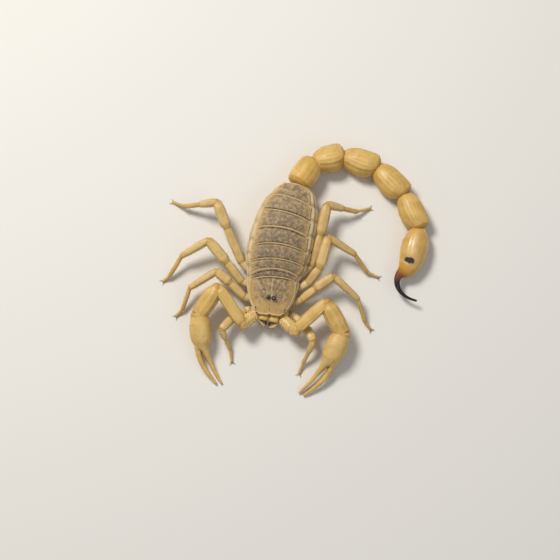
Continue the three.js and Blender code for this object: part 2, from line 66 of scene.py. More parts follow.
# A smooth line through values at places. A stiff one never overshoots, a free one keeps round curves round.
def smoothThrough(places, values, wanted, stiff=True):
    x = np.asarray(places, float)
    y = np.asarray(values, float)
    flat = y.reshape(len(x), -1)
    step = np.diff(x)[:, None]
    slope = np.diff(flat, axis=0) / step
    bend = np.vstack([slope[:1], slope[-1:]]) if len(x) == 2 else np.zeros_like(flat)
    if len(x) > 2:
        bend[0], bend[-1] = slope[0], slope[-1]
        if stiff:
            before, after = 2 * step[1:] + step[:-1], step[1:] + 2 * step[:-1]
            with np.errstate(divide="ignore", invalid="ignore"):
                mean = (before + after) / (before / slope[:-1] + after / slope[1:])
            bend[1:-1] = np.where(slope[:-1] * slope[1:] > 0, mean, 0)
        else:
            bend[1:-1] = (flat[2:] - flat[:-2]) / (step[1:] + step[:-1])
    at = np.clip(np.asarray(wanted, float), x[0], x[-1])
    i = np.clip(np.searchsorted(x, at, "right") - 1, 0, len(x) - 2)
    h = (x[i + 1] - x[i])[..., None]
    t = (at - x[i])[..., None] / h
    out = (2 * t**3 - 3 * t**2 + 1) * flat[i] + (t**3 - 2 * t**2 + t) * h * bend[i]
    out = out + (3 * t**2 - 2 * t**3) * flat[i + 1] + (t**3 - t**2) * h * bend[i + 1]
    return out.reshape(at.shape + y.shape[1:])


# What a CAD node is made of: its corners, and which of them an edge joins.
def readNode(name):
    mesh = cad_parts[name].data
    raw = np.array([v.co for v in mesh.vertices])
    points, index = np.unique(np.round(raw, 6), axis=0, return_inverse=True)
    index = index.ravel()
    near = [set() for _ in points]
    for face in mesh.polygons:
        corners = [index[i] for i in face.vertices]
        for a, b in zip(corners, corners[1:] + corners[:1]):
            near[a].add(b)
            near[b].add(a)
    return points, near


# A limb's node is a row of rings between two end points. They are listed from the end nearest to `start`.
def readRings(name, start):
    points, near = readNode(name)
    ends = sorted(range(len(points)), key=lambda i: -len(near[i]))[:2]
    first = min(ends, key=lambda i: np.linalg.norm(points[i] - start))
    rings, seen, layer = [], {first}, {first}
    while layer:
        rings.append(points[sorted(layer)])
        layer = {j for i in layer for j in near[i]} - seen
        seen |= layer
    return rings


# Mesh parts are gathered here and become one object: points, faces, and the numbers that colour them.
class Heap:
    def __init__(self):
        self.points, self.faces, self.marks, self.uv = [], [], [], []
        self.count = 0

    def add(self, points, faces, marks=None, uv=None):
        points = np.asarray(points, float).reshape(-1, 3)
        marks = marks or {}
        self.points.append(points)
        self.faces.extend((np.asarray(part) + self.count).tolist() for part in faces)
        self.marks.append({key: np.broadcast_to(value, len(points)) for key, value in marks.items()})
        self.uv.append(uv)
        self.count += len(points)

    def make(self, name, finish, slot, *nodes):
        points = np.vstack(self.points)
        faces = [face for part in self.faces for face in part]
        points[:, 2] = np.maximum(points[:, 2], floorSkin)
        mesh = bpy.data.meshes.new(name)
        mesh.from_pydata(points.tolist(), [], faces)
        mesh.polygons.foreach_set("use_smooth", np.ones(len(faces), bool))
        for key in markNames:
            parts = [part.get(key, np.zeros(len(at))) for part, at in zip(self.marks, self.points)]
            mark = mesh.attributes.new(key, "FLOAT", "POINT")
            mark.data.foreach_set("value", np.concatenate(parts).astype(np.float32))
        if self.uv[0] is not None:
            corners = np.zeros(len(mesh.loops), int)
            mesh.loops.foreach_get("vertex_index", corners)
            patches = mesh.uv_layers.new(name="OFBake")
            patches.data.foreach_set("uv", np.vstack(self.uv)[corners].astype(np.float32).ravel())
        mesh.materials.append(finish)
        piece = bpy.data.objects.new(name, mesh)
        bpy.context.scene.collection.objects.link(piece)
        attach(piece, "root")
        if nodes:
            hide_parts(*nodes)
        return piece


markNames = ("rim", "grain", "along", "dark", "line", "warm")
floorSkin = 0.02 * mm


def gridFaces(rows, columns, closed):
    i = np.arange(rows - 1)[:, None]
    j = np.arange(columns if closed else columns - 1)[None, :]
    k = (j + 1) % columns
    near, far = i * columns, (i + 1) * columns
    return np.stack([near + j, far + j, far + k, near + k], -1).reshape(-1, 4)


# The closed skin of a limb: a grid of rings, with a point at each end.
def tubeFaces(rows, columns):
    j = np.arange(columns)
    k = (j + 1) % columns
    last = (rows - 1) * columns
    firstEnd, lastEnd = rows * columns, rows * columns + 1
    caps = [np.stack([np.full(columns, firstEnd), j, k], -1)]
    caps.append(np.stack([np.full(columns, lastEnd), last + k, last + j], -1))
    return [gridFaces(rows, columns, True)] + caps


def normalsOf(grid):  # outward ways of a closed skin
    around = (np.roll(grid, -1, axis=1) - np.roll(grid, 1, axis=1)) / 2
    return unit(np.cross(np.gradient(grid, axis=0), around))


def acrossWays(way, up):  # the two ways square to a line: to its side, and up from it
    side = unit(np.cross(way, up))
    return side, np.cross(side, way)


# Sections square to a line of centres. Each has its reach to both sides, up and down.
def sweep(centres, up, reach, square, around, relief=None, places=None):
    side, top = acrossWays(unit(np.gradient(centres, axis=0)), up)
    angle = np.linspace(0, 2 * math.pi, around, endpoint=False)
    c, s = np.cos(angle), np.sin(angle)
    power = np.where(s >= 0, 2 / square[0], 2 / square[1])
    x = np.sign(c) * np.abs(c) ** power
    y = np.sign(s) * np.abs(s) ** power
    wide = np.where(c >= 0, reach[:, :1], reach[:, 1:2])
    high = np.where(s >= 0, reach[:, 2:3], reach[:, 3:4])
    lift = np.zeros((len(centres), around)) if relief is None else relief(places[:, None], angle[None, :])
    a = wide * x + lift * c
    b = high * y + lift * s
    return centres[:, None] + a[..., None] * side[:, None] + b[..., None] * top[:, None]


def halfSizes(off, side, top):  # how far points reach to both sides, up and down
    x, y = off @ side, off @ top
    return [x.max(), -x.min(), y.max(), -y.min()]


# Half sizes of rings about a straight line, with their places along it.
def girthOf(rings, start, end, up):
    way = unit(end - start)
    side, top = acrossWays(way, up)
    places = np.array([((ring - start) @ way).mean() for ring in rings]) / np.linalg.norm(end - start)
    return places, np.array([halfSizes(ring - start, side, top) for ring in rings])


def ringReach(rings, centres):  # half sizes of rings round their own middles
    ways = acrossWays(unit(np.gradient(centres, axis=0)), zUp)
    return np.array([halfSizes(ring - ring.mean(axis=0), side, top) for ring, side, top in zip(rings, *ways)])


plainCapSteps = 6  # rings that round over an end, where a skin's own dictionary has no "capSteps"


# One straight piece of a limb from joint to joint, rounded over at both ends by `tuck`.
def limbSkin(start, end, up, places, reach, look, relief=None):
    length = np.linalg.norm(end - start)
    way = unit(end - start)
    turn = np.linspace(0, math.pi / 2, look.get("capSteps", plainCapSteps) + 2)[1:-1]
    near, far = [share * reach[i].mean() for share, i in zip(look["tuck"], (0, -1))]
    body = np.linspace(0, 1, look["steps"])
    along = np.concatenate([-near / length * np.cos(turn), body, 1 + far / length * np.sin(turn)])
    shrink = np.concatenate([np.sin(turn), np.ones(len(body)), np.cos(turn)])
    sizes = smoothThrough(places, reach, np.clip(along, 0, 1)) * shrink[:, None]
    centres = start + along[:, None] * (end - start)
    inside = np.clip(along, 0, 1)
    fade = np.where((along < 0) | (along > 1), shrink, 1)[:, None]
    bumps = None if relief is None else (lambda u, a: relief(u, a) * fade)
    grid = sweep(centres, up, sizes, look["square"], look["around"], bumps, inside)
    ends = np.array([start - near * way, end + far * way])
    return {"grid": grid, "ends": ends, "along": along, "normals": normalsOf(grid)}


# A bent piece along a line of centres, such as a finger or the sting.
def bentSkin(centres, up, reach, look, relief=None):
    steps = np.concatenate([[0], np.cumsum(np.linalg.norm(np.diff(centres, axis=0), axis=1))])
    steps /= steps[-1]
    share = np.linspace(0, 1, look["steps"])
    line = smoothThrough(steps, centres, share, stiff=False)
    sizes = smoothThrough(steps, reach, share)
    near, far = [tuck * sizes[i].mean() for tuck, i in zip(look["tuck"], (0, -1))]
    turn = np.linspace(0, math.pi / 2, look.get("capSteps", plainCapSteps) + 2)[1:-1]
    first, last = unit(line[0] - line[1]), unit(line[-1] - line[-2])
    line = np.vstack([
        line[0] + near * np.cos(turn)[:, None] * first, line, line[-1] + far * np.sin(turn)[:, None] * last,
    ])
    sizes = np.vstack([sizes[0] * np.sin(turn)[:, None], sizes, sizes[-1] * np.cos(turn)[:, None]])
    places = np.concatenate([np.zeros(len(turn)), share, np.ones(len(turn))])
    fade = np.concatenate([np.sin(turn), np.ones(len(share)), np.cos(turn)])[:, None]
    bumps = None if relief is None else (lambda u, a: relief(u, a) * fade)
    grid = sweep(line, up, sizes, look["square"], look["around"], bumps, places)
    ends = np.array([line[len(turn)] + near * first, line[-len(turn) - 1] + far * last])
    return {"grid": grid, "ends": ends, "along": places, "normals": normalsOf(grid)}


def jointBetween(a, b):  # the middle of the gap between two rows of rings
    return (a[-1][0] + b[0][0]) / 2


def addSkin(heap, skin, **marks):
    grid = skin["grid"]
    rows, columns = grid.shape[:2]
    points = np.vstack([grid.reshape(-1, 3), skin["ends"]])
    flat = {"along": np.repeat(np.clip(skin["along"], 0, 1), columns)}
    angle = np.linspace(0, 2 * math.pi, columns, endpoint=False)
    for key, mark in marks.items():
        values = mark(np.clip(skin["along"], 0, 1)[:, None], angle[None, :])
        flat[key] = np.broadcast_to(values, (rows, columns)).reshape(-1)
    flat = {key: np.append(values, [values[0], values[-1]]) for key, values in flat.items()}
    heap.add(points, tubeFaces(rows, columns), flat)


# Points and outward ways on a skin, at shares along it and angles round it.
def onSkin(skin, along, angle):
    columns = skin["grid"].shape[1]
    row = np.interp(along, skin["along"], np.arange(len(skin["along"])))
    column = (np.asarray(angle) / (2 * math.pi) * columns) % columns
    i, j = np.floor(row).astype(int), np.floor(column).astype(int)
    i = np.clip(i, 0, len(skin["along"]) - 2)
    a, b = (row - i)[..., None], (column - j)[..., None]
    k = (j + 1) % columns
    j = j % columns
    found = []
    for grid in (skin["grid"], skin["normals"]):
        upper = grid[i, j] * (1 - b) + grid[i, k] * b
        lower = grid[i + 1, j] * (1 - b) + grid[i + 1, k] * b
        found.append(upper * (1 - a) + lower * a)
    return found[0], unit(found[1])


# Low round grains of the shell: domes standing on a surface. Levels are widths and heights of their rings.
grainLook = {"sides": 6, "levels": [(1.0, -0.25), (0.74, 0.6)], "rowSizes": (0.8, 1.15), "scatterTall": 0.7}


def seedWay(ways):  # a way that is never along the given one
    return np.where(np.abs(ways[:, 2:]) < 0.9, zUp, [1.0, 0, 0])


def addGrains(heap, points, ways, radius, tall=0.8, **marks):
    points = np.atleast_2d(points)
    radius = np.broadcast_to(radius, len(points))
    sides, levels = grainLook["sides"], grainLook["levels"]
    turn = np.arange(sides) / sides * 2 * math.pi
    shape = [np.stack([w * np.cos(turn), w * np.sin(turn), np.full(sides, h)], -1) for w, h in levels]
    shape = np.vstack(shape + [[[0, 0, 1.0]]])
    ways = unit(ways)
    a = unit(np.cross(ways, seedWay(ways)))
    b = np.cross(ways, a)
    spread = shape[None] * radius[:, None, None]
    at = points[:, None] + spread[..., :1] * a[:, None] + spread[..., 1:2] * b[:, None]
    at = at + tall * spread[..., 2:] * ways[:, None]
    faces = gridFaces(len(levels), sides, True)[:, ::-1]
    top = len(shape) - 1
    last = (len(levels) - 1) * sides
    cap = np.array([[top, last + (k + 1) % sides, last + k] for k in range(sides)])[:, ::-1]
    shift = np.arange(len(points))[:, None, None] * len(shape)
    parts = [(faces[None] + shift).reshape(-1, 4), (cap[None] + shift).reshape(-1, 3)]
    flat = {key: np.repeat(np.broadcast_to(value, len(points)), len(shape)) for key, value in marks.items()}
    heap.add(at.reshape(-1, 3), parts, flat)


# Tapered bent thorns: bristles, claws and teeth. `sag` bends them toward `bendWay`.
def thornShapes(roots, ways, length, radius, bendWay, sag, sides=5, steps=6, blunt=0.12):
    roots, ways = np.atleast_2d(roots), unit(np.atleast_2d(ways))
    count = len(roots)
    length = np.broadcast_to(length, count)[:, None, None]
    radius = np.broadcast_to(radius, count)[:, None, None]
    bendWay = np.broadcast_to(bendWay, (count, 3))
    sag = np.broadcast_to(sag, count)[:, None, None]
    share = np.linspace(0, 1, steps)[None, :, None]
    line = roots[:, None] + length * (share * ways[:, None] + sag * share**2 * bendWay[:, None])
    way = unit(np.gradient(line, axis=1))
    a = unit(np.cross(way, seedWay(ways)[:, None]))
    b = np.cross(way, a)
    thick = radius * (1 - (1 - blunt) * share**1.4)
    turn = np.arange(sides) / sides * 2 * math.pi
    ring = np.cos(turn)[:, None] * a[:, :, None] + np.sin(turn)[:, None] * b[:, :, None]
    body = line[:, :, None] + thick[..., None] * ring
    tips = line[:, -1:] + way[:, -1:] * thick[:, -1:]
    points = np.concatenate([body.reshape(count, -1, 3), tips], axis=1)
    faces = gridFaces(steps, sides, True)[:, ::-1]
    last = (steps - 1) * sides
    cap = np.array([[last + (k + 1) % sides, last + k, steps * sides] for k in range(sides)])[:, ::-1]
    root = np.arange(sides)[None, ::-1]
    shift = np.arange(count)[:, None, None] * (steps * sides + 1)
    parts = [(part[None] + shift).reshape(-1, part.shape[1]) for part in (faces, cap, root)]
    return points, parts


def addThorns(heap, roots, ways, length, radius, bendWay=(0, 0, 0), sag=0.0, marks=None, **more):
    points, parts = thornShapes(roots, ways, length, radius, bendWay, sag, **more)
    tip = np.linspace(0, 1, points.shape[1])
    flat = {"along": np.tile(tip, len(points))}
    for key, value in (marks or {}).items():
        flat[key] = np.full(points.shape[0] * points.shape[1], float(value))
    heap.add(points.reshape(-1, 3), parts, flat)


def addRow(heap, skin, angle, low, high, step, size, tall=1.0, **marks):
    length = np.linalg.norm(skin["ends"][1] - skin["ends"][0])
    count = max(int((high - low) * length / step), 2)
    points, ways = onSkin(skin, np.linspace(low, high, count), np.full(count, math.radians(angle % 360)))
    addGrains(heap, points, ways, size * dice.uniform(*grainLook["rowSizes"], count), tall=tall, **marks)


def addScatter(heap, skin, count, low, high, sizes, **marks):
    share, turn = dice.uniform(low, high, count), dice.uniform(0, 2 * math.pi, count)
    points, ways = onSkin(skin, share, turn)
    addGrains(heap, points, ways, dice.uniform(*sizes, count), tall=grainLook["scatterTall"], **marks)


# Bristles are gathered by limb and made at the end. Each keeps a patch of the colour map, placed by its
# root: a column per stretch of limb, its height the share along the limb and its width the turn round it.
bristleLook = {
    "patch": 0.003, "margin": 0.02, "sides": 4, "steps": 5, "sag": 0.12, "sunk": 0.03 * mm,
    "lengths": (0.55, 1.15),
}
bristleRoots = {}


def addBristles(group, skin, count, low, high, length, lean=0.5, angles=(0, 2 * math.pi), radius=0.02 * mm):
    share, turn = dice.uniform(low, high, count), dice.uniform(*angles, count)
    points, ways = onSkin(skin, share, turn)
    along = unit(skin["ends"][1] - skin["ends"][0])
    size = length * dice.uniform(*bristleLook["lengths"], count)
    spots = np.stack([share, turn / (2 * math.pi)], -1)
    bristleRoots.setdefault(group, []).append(
        (points - bristleLook["sunk"] * ways, ways + lean * along, size, radius, spots))


print("frame read")


# Finishes. Each mixes two shell colours in cloudy patches, then paints the marks that the meshes carry.
# A shell's own dictionary names what differs from this one. Scales are counts per mm.
shellBase = {
    "cloudScale": 0.4, "speckScale": 3.0, "speck": 0.35, "streakScale": 1.0, "rim": 1.0, "gritScale": 5.0,
    "grit": 0.05, "waveScale": 1.5, "waves": 0.22, "glow": 0.0, "wax": 0.0, "shine": 0.5, "glossScale": 2.0,
    "cloudEdge": (0.36, 0.64), "speckEdge": (0.52, 0.72), "streakEdge": (0.4, 0.62), "streakLeast": 0.35,
    "glossEdge": (0.3, 0.7), "gritDeep": 0.06 * mm, "waveDeep": 0.12 * mm, "ends": [],
    "refraction": 1.5, "glowDeep": 0.5 * mm, "glowReach": (1.0, 0.55, 0.2), "waxRoughness": 0.25,
}


def shellFinish(name, own):
    look = {**shellBase, **own}
    finish = bpy.data.materials.new(name)
    finish.use_nodes = True
    tree = finish.node_tree
    tree.nodes.clear()

    def node(kind, values=None, **settings):
        made = tree.nodes.new(kind)
        for key, value in settings.items():
            setattr(made, key, value)
        for key, value in (values or {}).items():
            made.inputs[key].default_value = value
        return made

    coords = node("ShaderNodeTexCoord").outputs["Object"]

    def noise(scale, detail=3.0, roughness=0.55):
        made = node("ShaderNodeTexNoise", {"Scale": scale / mm, "Detail": detail, "Roughness": roughness})
        tree.links.new(coords, made.inputs["Vector"])
        return made.outputs["Fac"]

    def fit(source, low, high, toLow=0.0, toHigh=1.0):
        values = {"From Min": low, "From Max": high, "To Min": toLow, "To Max": toHigh}
        made = node("ShaderNodeMapRange", values, interpolation_type="SMOOTHSTEP")
        tree.links.new(source, made.inputs["Value"])
        return made.outputs["Result"]

    def paint(share, below, above):
        made = node("ShaderNodeMix", data_type="RGBA")
        tree.links.new(share, made.inputs["Factor"])
        for socket, value in (("A_Color", below), ("B_Color", above)):
            target = next(one for one in made.inputs if one.identifier == socket)
            if isinstance(value, tuple):
                target.default_value = (*value, 1)
            else:
                tree.links.new(value, target)
        return next(one for one in made.outputs if one.identifier == "Result_Color")

    def times(a, b):
        made = node("ShaderNodeMath", operation="MULTIPLY")
        for k, value in enumerate((a, b)):
            if isinstance(value, (int, float)):
                made.inputs[k].default_value = value
            else:
                tree.links.new(value, made.inputs[k])
        return made.outputs["Value"]

    def mark(key):
        return node("ShaderNodeAttribute", attribute_name=key).outputs["Fac"]

    def bump(source, strength, deep, **settings):
        made = node("ShaderNodeBump", {"Strength": strength, "Distance": deep}, **settings)
        tree.links.new(source, made.inputs["Height"])
        return made

    colour = paint(fit(noise(look["cloudScale"]), *look["cloudEdge"]), look["deep"], look["base"])
    speck = fit(noise(look["speckScale"], 2.0, 0.7), *look["speckEdge"], 0, look["speck"])
    colour = paint(speck, colour, look["speckColour"])
    streak = fit(noise(look["streakScale"], 4.0, 0.7), *look["streakEdge"], look["streakLeast"], 1)
    # The rim mark is pale shell, and on the tail, sting, palms and flank folds also a painted highlight. The
    # dark mark is darker shell, and in the flanks' creases painted shade. The line mark is dark joints and
    # spots, and painted shade in grooves, under rims and between the fingers.
    colour = paint(mark("warm"), colour, look.get("warmColour", look["base"]))
    colour = paint(times(mark("dark"), streak), colour, look["darkColour"])
    for low, high, tint in look["ends"]:
        colour = paint(fit(mark("along"), low, high), colour, tint)
    colour = paint(times(mark("rim"), look["rim"]), colour, look["rimColour"])
    colour = paint(mark("line"), colour, look["lineColour"])
    colour = paint(mark("grain"), colour, look["grainColour"])

    grit = node("ShaderNodeTexVoronoi", {"Scale": look["gritScale"] / mm}, feature="SMOOTH_F1")
    tree.links.new(coords, grit.inputs["Vector"])
    pebbles = bump(grit.outputs["Distance"], look["grit"], look["gritDeep"], invert=True)
    waves = bump(noise(look["waveScale"]), look["waves"], look["waveDeep"])
    tree.links.new(pebbles.outputs["Normal"], waves.inputs["Normal"])

    shader = node("ShaderNodeBsdfPrincipled", {
        "IOR": look["refraction"], "Specular IOR Level": look["shine"], "Subsurface Weight": look["glow"],
        "Subsurface Scale": look["glowDeep"], "Subsurface Radius": look["glowReach"],
        "Coat Weight": look["wax"], "Coat Roughness": look["waxRoughness"],
    })
    gloss = fit(noise(look["glossScale"]), *look["glossEdge"], *look["roughness"])
    tree.links.new(colour, shader.inputs["Base Color"])
    tree.links.new(gloss, shader.inputs["Roughness"])
    tree.links.new(waves.outputs["Normal"], shader.inputs["Normal"])
    tree.links.new(shader.outputs["BSDF"], node("ShaderNodeOutputMaterial").inputs["Surface"])
    return finish


# On the back plates and the shield, the line colour is painted shade in the grooves and the shadow under each
# rim.
brownShell = shellFinish("shell_brown", {
    "base": (0.57, 0.395, 0.20), "deep": (0.27, 0.185, 0.10), "cloudScale": 1.0,
    "speckColour": (0.13, 0.09, 0.055), "speckScale": 3.2, "speck": 0.8, "warmColour": (0.58, 0.37, 0.14),
    "darkColour": (0.128, 0.104, 0.088), "streakScale": 1.6, "rimColour": (0.74, 0.53, 0.25), "rim": 0.9,
    "grainColour": (0.13, 0.085, 0.05), "lineColour": (0.03, 0.022, 0.018), "gritScale": 4.2, "grit": 0.85,
    "waveScale": 1.6, "waves": 0.6, "glow": 0.03, "shine": 0.35, "roughness": (0.45, 0.65),
})
amberShell = shellFinish("shell_amber", {
    "base": (0.72, 0.465, 0.135), "deep": (0.60, 0.37, 0.09), "speckColour": (0.50, 0.29, 0.07),
    "speckScale": 3.5, "warmColour": (0.64, 0.365, 0.06), "darkColour": (0.42, 0.22, 0.045),
    "streakScale": 0.9, "rimColour": (0.84, 0.62, 0.27), "rim": 0.75, "grainColour": (0.20, 0.09, 0.03),
    "lineColour": (0.09, 0.04, 0.015), "grit": 0.3, "waveScale": 1.1, "glow": 0.2, "wax": 0.04,
    "roughness": (0.4, 0.54), "glossScale": 1.4,
})
paleShell = shellFinish("shell_pale", {
    "base": (0.71, 0.49, 0.185), "deep": (0.59, 0.39, 0.13), "cloudScale": 0.45,
    "speckColour": (0.46, 0.29, 0.09), "speckScale": 3.5, "warmColour": (0.58, 0.36, 0.09),
    "darkColour": (0.40, 0.24, 0.07), "streakScale": 0.9, "rimColour": (0.76, 0.60, 0.34), "rim": 0.7,
    "grainColour": (0.24, 0.12, 0.045), "lineColour": (0.10, 0.05, 0.02), "gritScale": 5.5, "grit": 0.25,
    "waveScale": 1.2, "glow": 0.2, "wax": 0.05, "roughness": (0.38, 0.56), "glossScale": 1.6,
})
# On the flanks, its dark colour is painted shade in the creases and pinches.
softSkin = shellFinish("skin_folds", {
    "base": (0.60, 0.45, 0.24), "deep": (0.47, 0.335, 0.165), "cloudScale": 0.7,
    "speckColour": (0.32, 0.23, 0.13), "speckScale": 4.0, "darkColour": (0.17, 0.12, 0.07),
    "streakScale": 1.4, "rimColour": (0.74, 0.60, 0.36), "rim": 0.8, "grainColour": (0.2, 0.12, 0.06),
    "lineColour": (0.10, 0.06, 0.03), "grit": 0.3, "waveScale": 2.2, "waves": 0.55, "glow": 0.15,
    "roughness": (0.45, 0.65), "glossScale": 1.6,
})
hornShell = shellFinish("shell_horn", {
    "base": (0.11, 0.03, 0.014), "deep": (0.035, 0.010, 0.006), "cloudScale": 0.5,
    "speckColour": (0.01, 0.004, 0.003), "speck": 0.3, "darkColour": (0.01, 0.005, 0.004),
    "rimColour": (0.45, 0.2, 0.06), "grainColour": (0.02, 0.006, 0.004), "lineColour": (0.01, 0.004, 0.003),
    "waves": 0.1, "wax": 0.5, "roughness": (0.2, 0.35),
})
clawShell = shellFinish("shell_claw", {
    "base": (0.34, 0.17, 0.05), "deep": (0.22, 0.10, 0.03), "cloudScale": 0.5,
    "speckColour": (0.12, 0.05, 0.02), "speck": 0.3, "darkColour": (0.05, 0.02, 0.01),
    "ends": [(0.45, 0.95, (0.035, 0.014, 0.008))], "rimColour": (0.5, 0.3, 0.1),
    "grainColour": (0.05, 0.02, 0.01), "lineColour": (0.03, 0.012, 0.006), "waves": 0.1, "wax": 0.2,
    "roughness": (0.25, 0.4),
})
stingShell = shellFinish("shell_sting", {
    "base": (0.70, 0.45, 0.14), "deep": (0.60, 0.365, 0.10), "cloudScale": 0.45,
    "speckColour": (0.46, 0.27, 0.08), "speckScale": 3.5, "speck": 0.3, "warmColour": (0.66, 0.38, 0.07),
    "darkColour": (0.42, 0.22, 0.05), "streakScale": 0.9,
    "ends": [(0.43, 0.53, (0.60, 0.31, 0.045)), (0.51, 0.61, (0.24, 0.07, 0.015)),
             (0.58, 0.70, (0.02, 0.009, 0.007))],
    "rimColour": (0.84, 0.64, 0.32), "rim": 0.6, "grainColour": (0.16, 0.08, 0.03),
    "lineColour": (0.016, 0.016, 0.024), "gritScale": 4.5, "grit": 0.12, "waveScale": 0.9, "waves": 0.2,
    "glow": 0.2, "wax": 0.22, "roughness": (0.26, 0.4), "glossScale": 1.2,
})
eyeLens = shellFinish("eye_lens", {
    "base": (0.012, 0.010, 0.010), "deep": (0.006, 0.005, 0.006), "cloudScale": 0.8,
    "speckColour": (0.02, 0.015, 0.012), "speck": 0.2, "darkColour": (0.004, 0.004, 0.004),
    "rimColour": (0.10, 0.07, 0.04), "rim": 0.6, "grainColour": (0.01, 0.01, 0.01),
    "lineColour": (0.004, 0.004, 0.004), "gritScale": 8.0, "grit": 0.02, "waves": 0.02, "wax": 1.0,
    "roughness": (0.06, 0.12),
})
bristle = shellFinish("bristle", {
    "base": (0.48, 0.29, 0.12), "deep": (0.34, 0.19, 0.07), "speckColour": (0.2, 0.1, 0.04), "speck": 0.2,
    "darkColour": (0.1, 0.05, 0.02), "rimColour": (0.6, 0.4, 0.2), "rim": 0.5,
    "grainColour": (0.2, 0.1, 0.04), "lineColour": (0.05, 0.03, 0.01), "waves": 0.05,
    "roughness": (0.35, 0.5),
})
print("finishes mixed")


# The trunk's middle line, from the shield's front edge through the eyes and on along the back plates.
def readLine():
    eyes = np.mean([corner for side in ("right", "left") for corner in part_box(f"eye_{side}")], axis=0)
    line = []
    for k in range(1, 8):
        rings = readRings(f"mesosoma_{k}", line[-1] if line else eyes)
        line += [rings[0][0], rings[-1][0]]
    ahead = (eyes[1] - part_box("carapace")[0].y) / (line[0][1] - eyes[1])
    line = np.array([eyes + ahead * (eyes - line[0]), eyes] + line)
    line[:, 2] = 0
    return np.concatenate([[0], np.cumsum(np.linalg.norm(np.diff(line, axis=0), axis=1))]), line


trunkSteps, trunkLine = readLine()


def lineAt(s):
    return smoothThrough(trunkSteps, trunkLine, s, stiff=False)


# The solids are sliced across that line. The roof is read over the part that the eyes' mound hides.
sliceLook = {
    "first": 0.1 * mm, "step": 0.4 * mm, "ahead": 0.05 * mm, "leastCuts": 30, "flank": 0.985,
    "mound": (1.7 * mm, 6.2 * mm), "kept": 3, "smooth": 2,
}


# Slices through the solids: half width, height of the widest part, roof and underside.
def readSlices():
    look = sliceLook
    edges = []
    for name in ["carapace"] + [f"mesosoma_{k}" for k in range(1, 8)]:
        points, near = readNode(name)
        edges += [(points[i], points[j]) for i in range(len(points)) for j in near[i] if j > i]
    edges = np.array(edges)
    stops, sizes = [], []
    for s in np.arange(look["first"], trunkSteps[-1], look["step"]):
        here, ahead = lineAt(np.array([s, s + look["ahead"]]))
        way = unit(ahead - here)
        off = (edges - here) @ way
        cut = off[:, 0] * off[:, 1] < 0
        if cut.sum() < look["leastCuts"]:
            continue
        share = off[cut, 0] / (off[cut, 0] - off[cut, 1])
        found = edges[cut, 0] + (edges[cut, 1] - edges[cut, 0]) * share[:, None]
        x = (found - here) @ np.cross(way, zUp)
        half = (x.max() - x.min()) / 2
        flank = found[np.abs(x) > look["flank"] * half, 2].mean()
        stops.append(s)
        sizes.append([half, flank, found[:, 2].max(), found[:, 2].min()])
    stops, sizes = np.array(stops), np.array(sizes)
    mound = (stops > look["mound"][0]) & (stops < look["mound"][1])
    sizes[mound, 2] = np.interp(stops[mound], stops[~mound], sizes[~mound, 2])
    padded = np.concatenate([sizes[:1], sizes[:1], sizes, sizes[-1:], sizes[-1:]])
    middle = np.median([padded[k : k + len(sizes)] for k in range(5)], axis=0)  # drops slices through joints
    middle[: look["kept"], 0] = sizes[: look["kept"], 0]
    return stops, np.stack([smoothed(column, look["smooth"]) for column in middle.T], -1)


def smoothed(values, width):  # a running mean
    kernel = np.hanning(2 * width + 3)[1:-1]
    padded = np.concatenate([np.repeat(values[:1], width), values, np.repeat(values[-1:], width)])
    return np.convolve(padded, kernel / kernel.sum(), "valid")


trunkStops, trunkSizes = readSlices()
trunkLook = {"roofSquare": 2.25, "bellySquare": 2.9, "reach": 0.1 * mm}


def trunkHalf(s):  # half the trunk's width at a distance from its front edge
    return np.interp(s, trunkStops, trunkSizes[:, 0])


# Places on the trunk, at a distance from its front edge and an angle round it, lifted off the solids.
def trunkAt(s, angle, lift=0.0):
    s, angle, lift = np.broadcast_arrays(s, angle, lift)
    inside = np.clip(s, 0, trunkSteps[-1])
    here = lineAt(inside)
    ahead = lineAt(np.clip(inside + trunkLook["reach"], 0, trunkSteps[-1]))
    behind = lineAt(np.clip(inside - trunkLook["reach"], 0, trunkSteps[-1]))
    way = unit(ahead - behind)
    here = here + (s - inside)[..., None] * way
    side = np.cross(way, zUp)
    half, flank, roof, floor = (np.interp(s, trunkStops, column) for column in trunkSizes.T)
    c, d = np.cos(angle), np.sin(angle)
    power = np.where(d >= 0, 2 / trunkLook["roofSquare"], 2 / trunkLook["bellySquare"])
    x = np.sign(c) * np.abs(c) ** power * (half + lift)
    high = np.where(d >= 0, roof - flank, flank - floor) + lift
    z = flank + np.sign(d) * np.abs(d) ** power * high
    return here + x[..., None] * side + z[..., None] * zUp


def roofAngle(share):  # the angle at which the roof is this share of its half width aside
    share = np.clip(share, -1, 1)
    return np.arccos(np.sign(share) * np.abs(share) ** (trunkLook["roofSquare"] / 2))


def bellyAngle(share):  # the same for the underside
    return -np.arccos(np.sign(share) * np.abs(share) ** (trunkLook["bellySquare"] / 2))


# Rear rims of the shield and the seven back plates, each as seen against the joint of the solids (in mm):
# how far behind it, how much the middle bows back, and how far the left end lies behind the right one.
# The plates' left and right ends are shares of the half width.
rimLook = {
    "shift": [-0.35, -0.55, -1.0, -0.6, -0.5, -0.65, -0.2, -0.25],
    "bow": [0.75, 1.25, 0.95, 1.1, 1.0, 0.6, 0.6, 0.5],
    "slant": [0.35, 0.5, 0.6, 0.5, 0.4, 0.1, -0.12, -0.1],
    "left": [0.86, 0.92, 0.87, 0.84, 0.78, 0.75, 0.71, 0.7],
    "right": [0.86, 0.86, 0.83, 0.81, 0.84, 0.86, 0.87, 0.84],
}
rimPlaces = np.append(trunkSteps[2::2], trunkSteps[-1])


def rimLine(k, v):  # v runs from -1 at the right end to 1 at the left end
    return rimPlaces[k] + (rimLook["shift"][k] - rimLook["bow"][k] * v**2 + rimLook["slant"][k] * v) * mm


def plateShare(s, v):
    left, right = (np.interp(s, rimPlaces, rimLook[side]) for side in ("left", "right"))
    return v * np.where(v > 0, left, right)


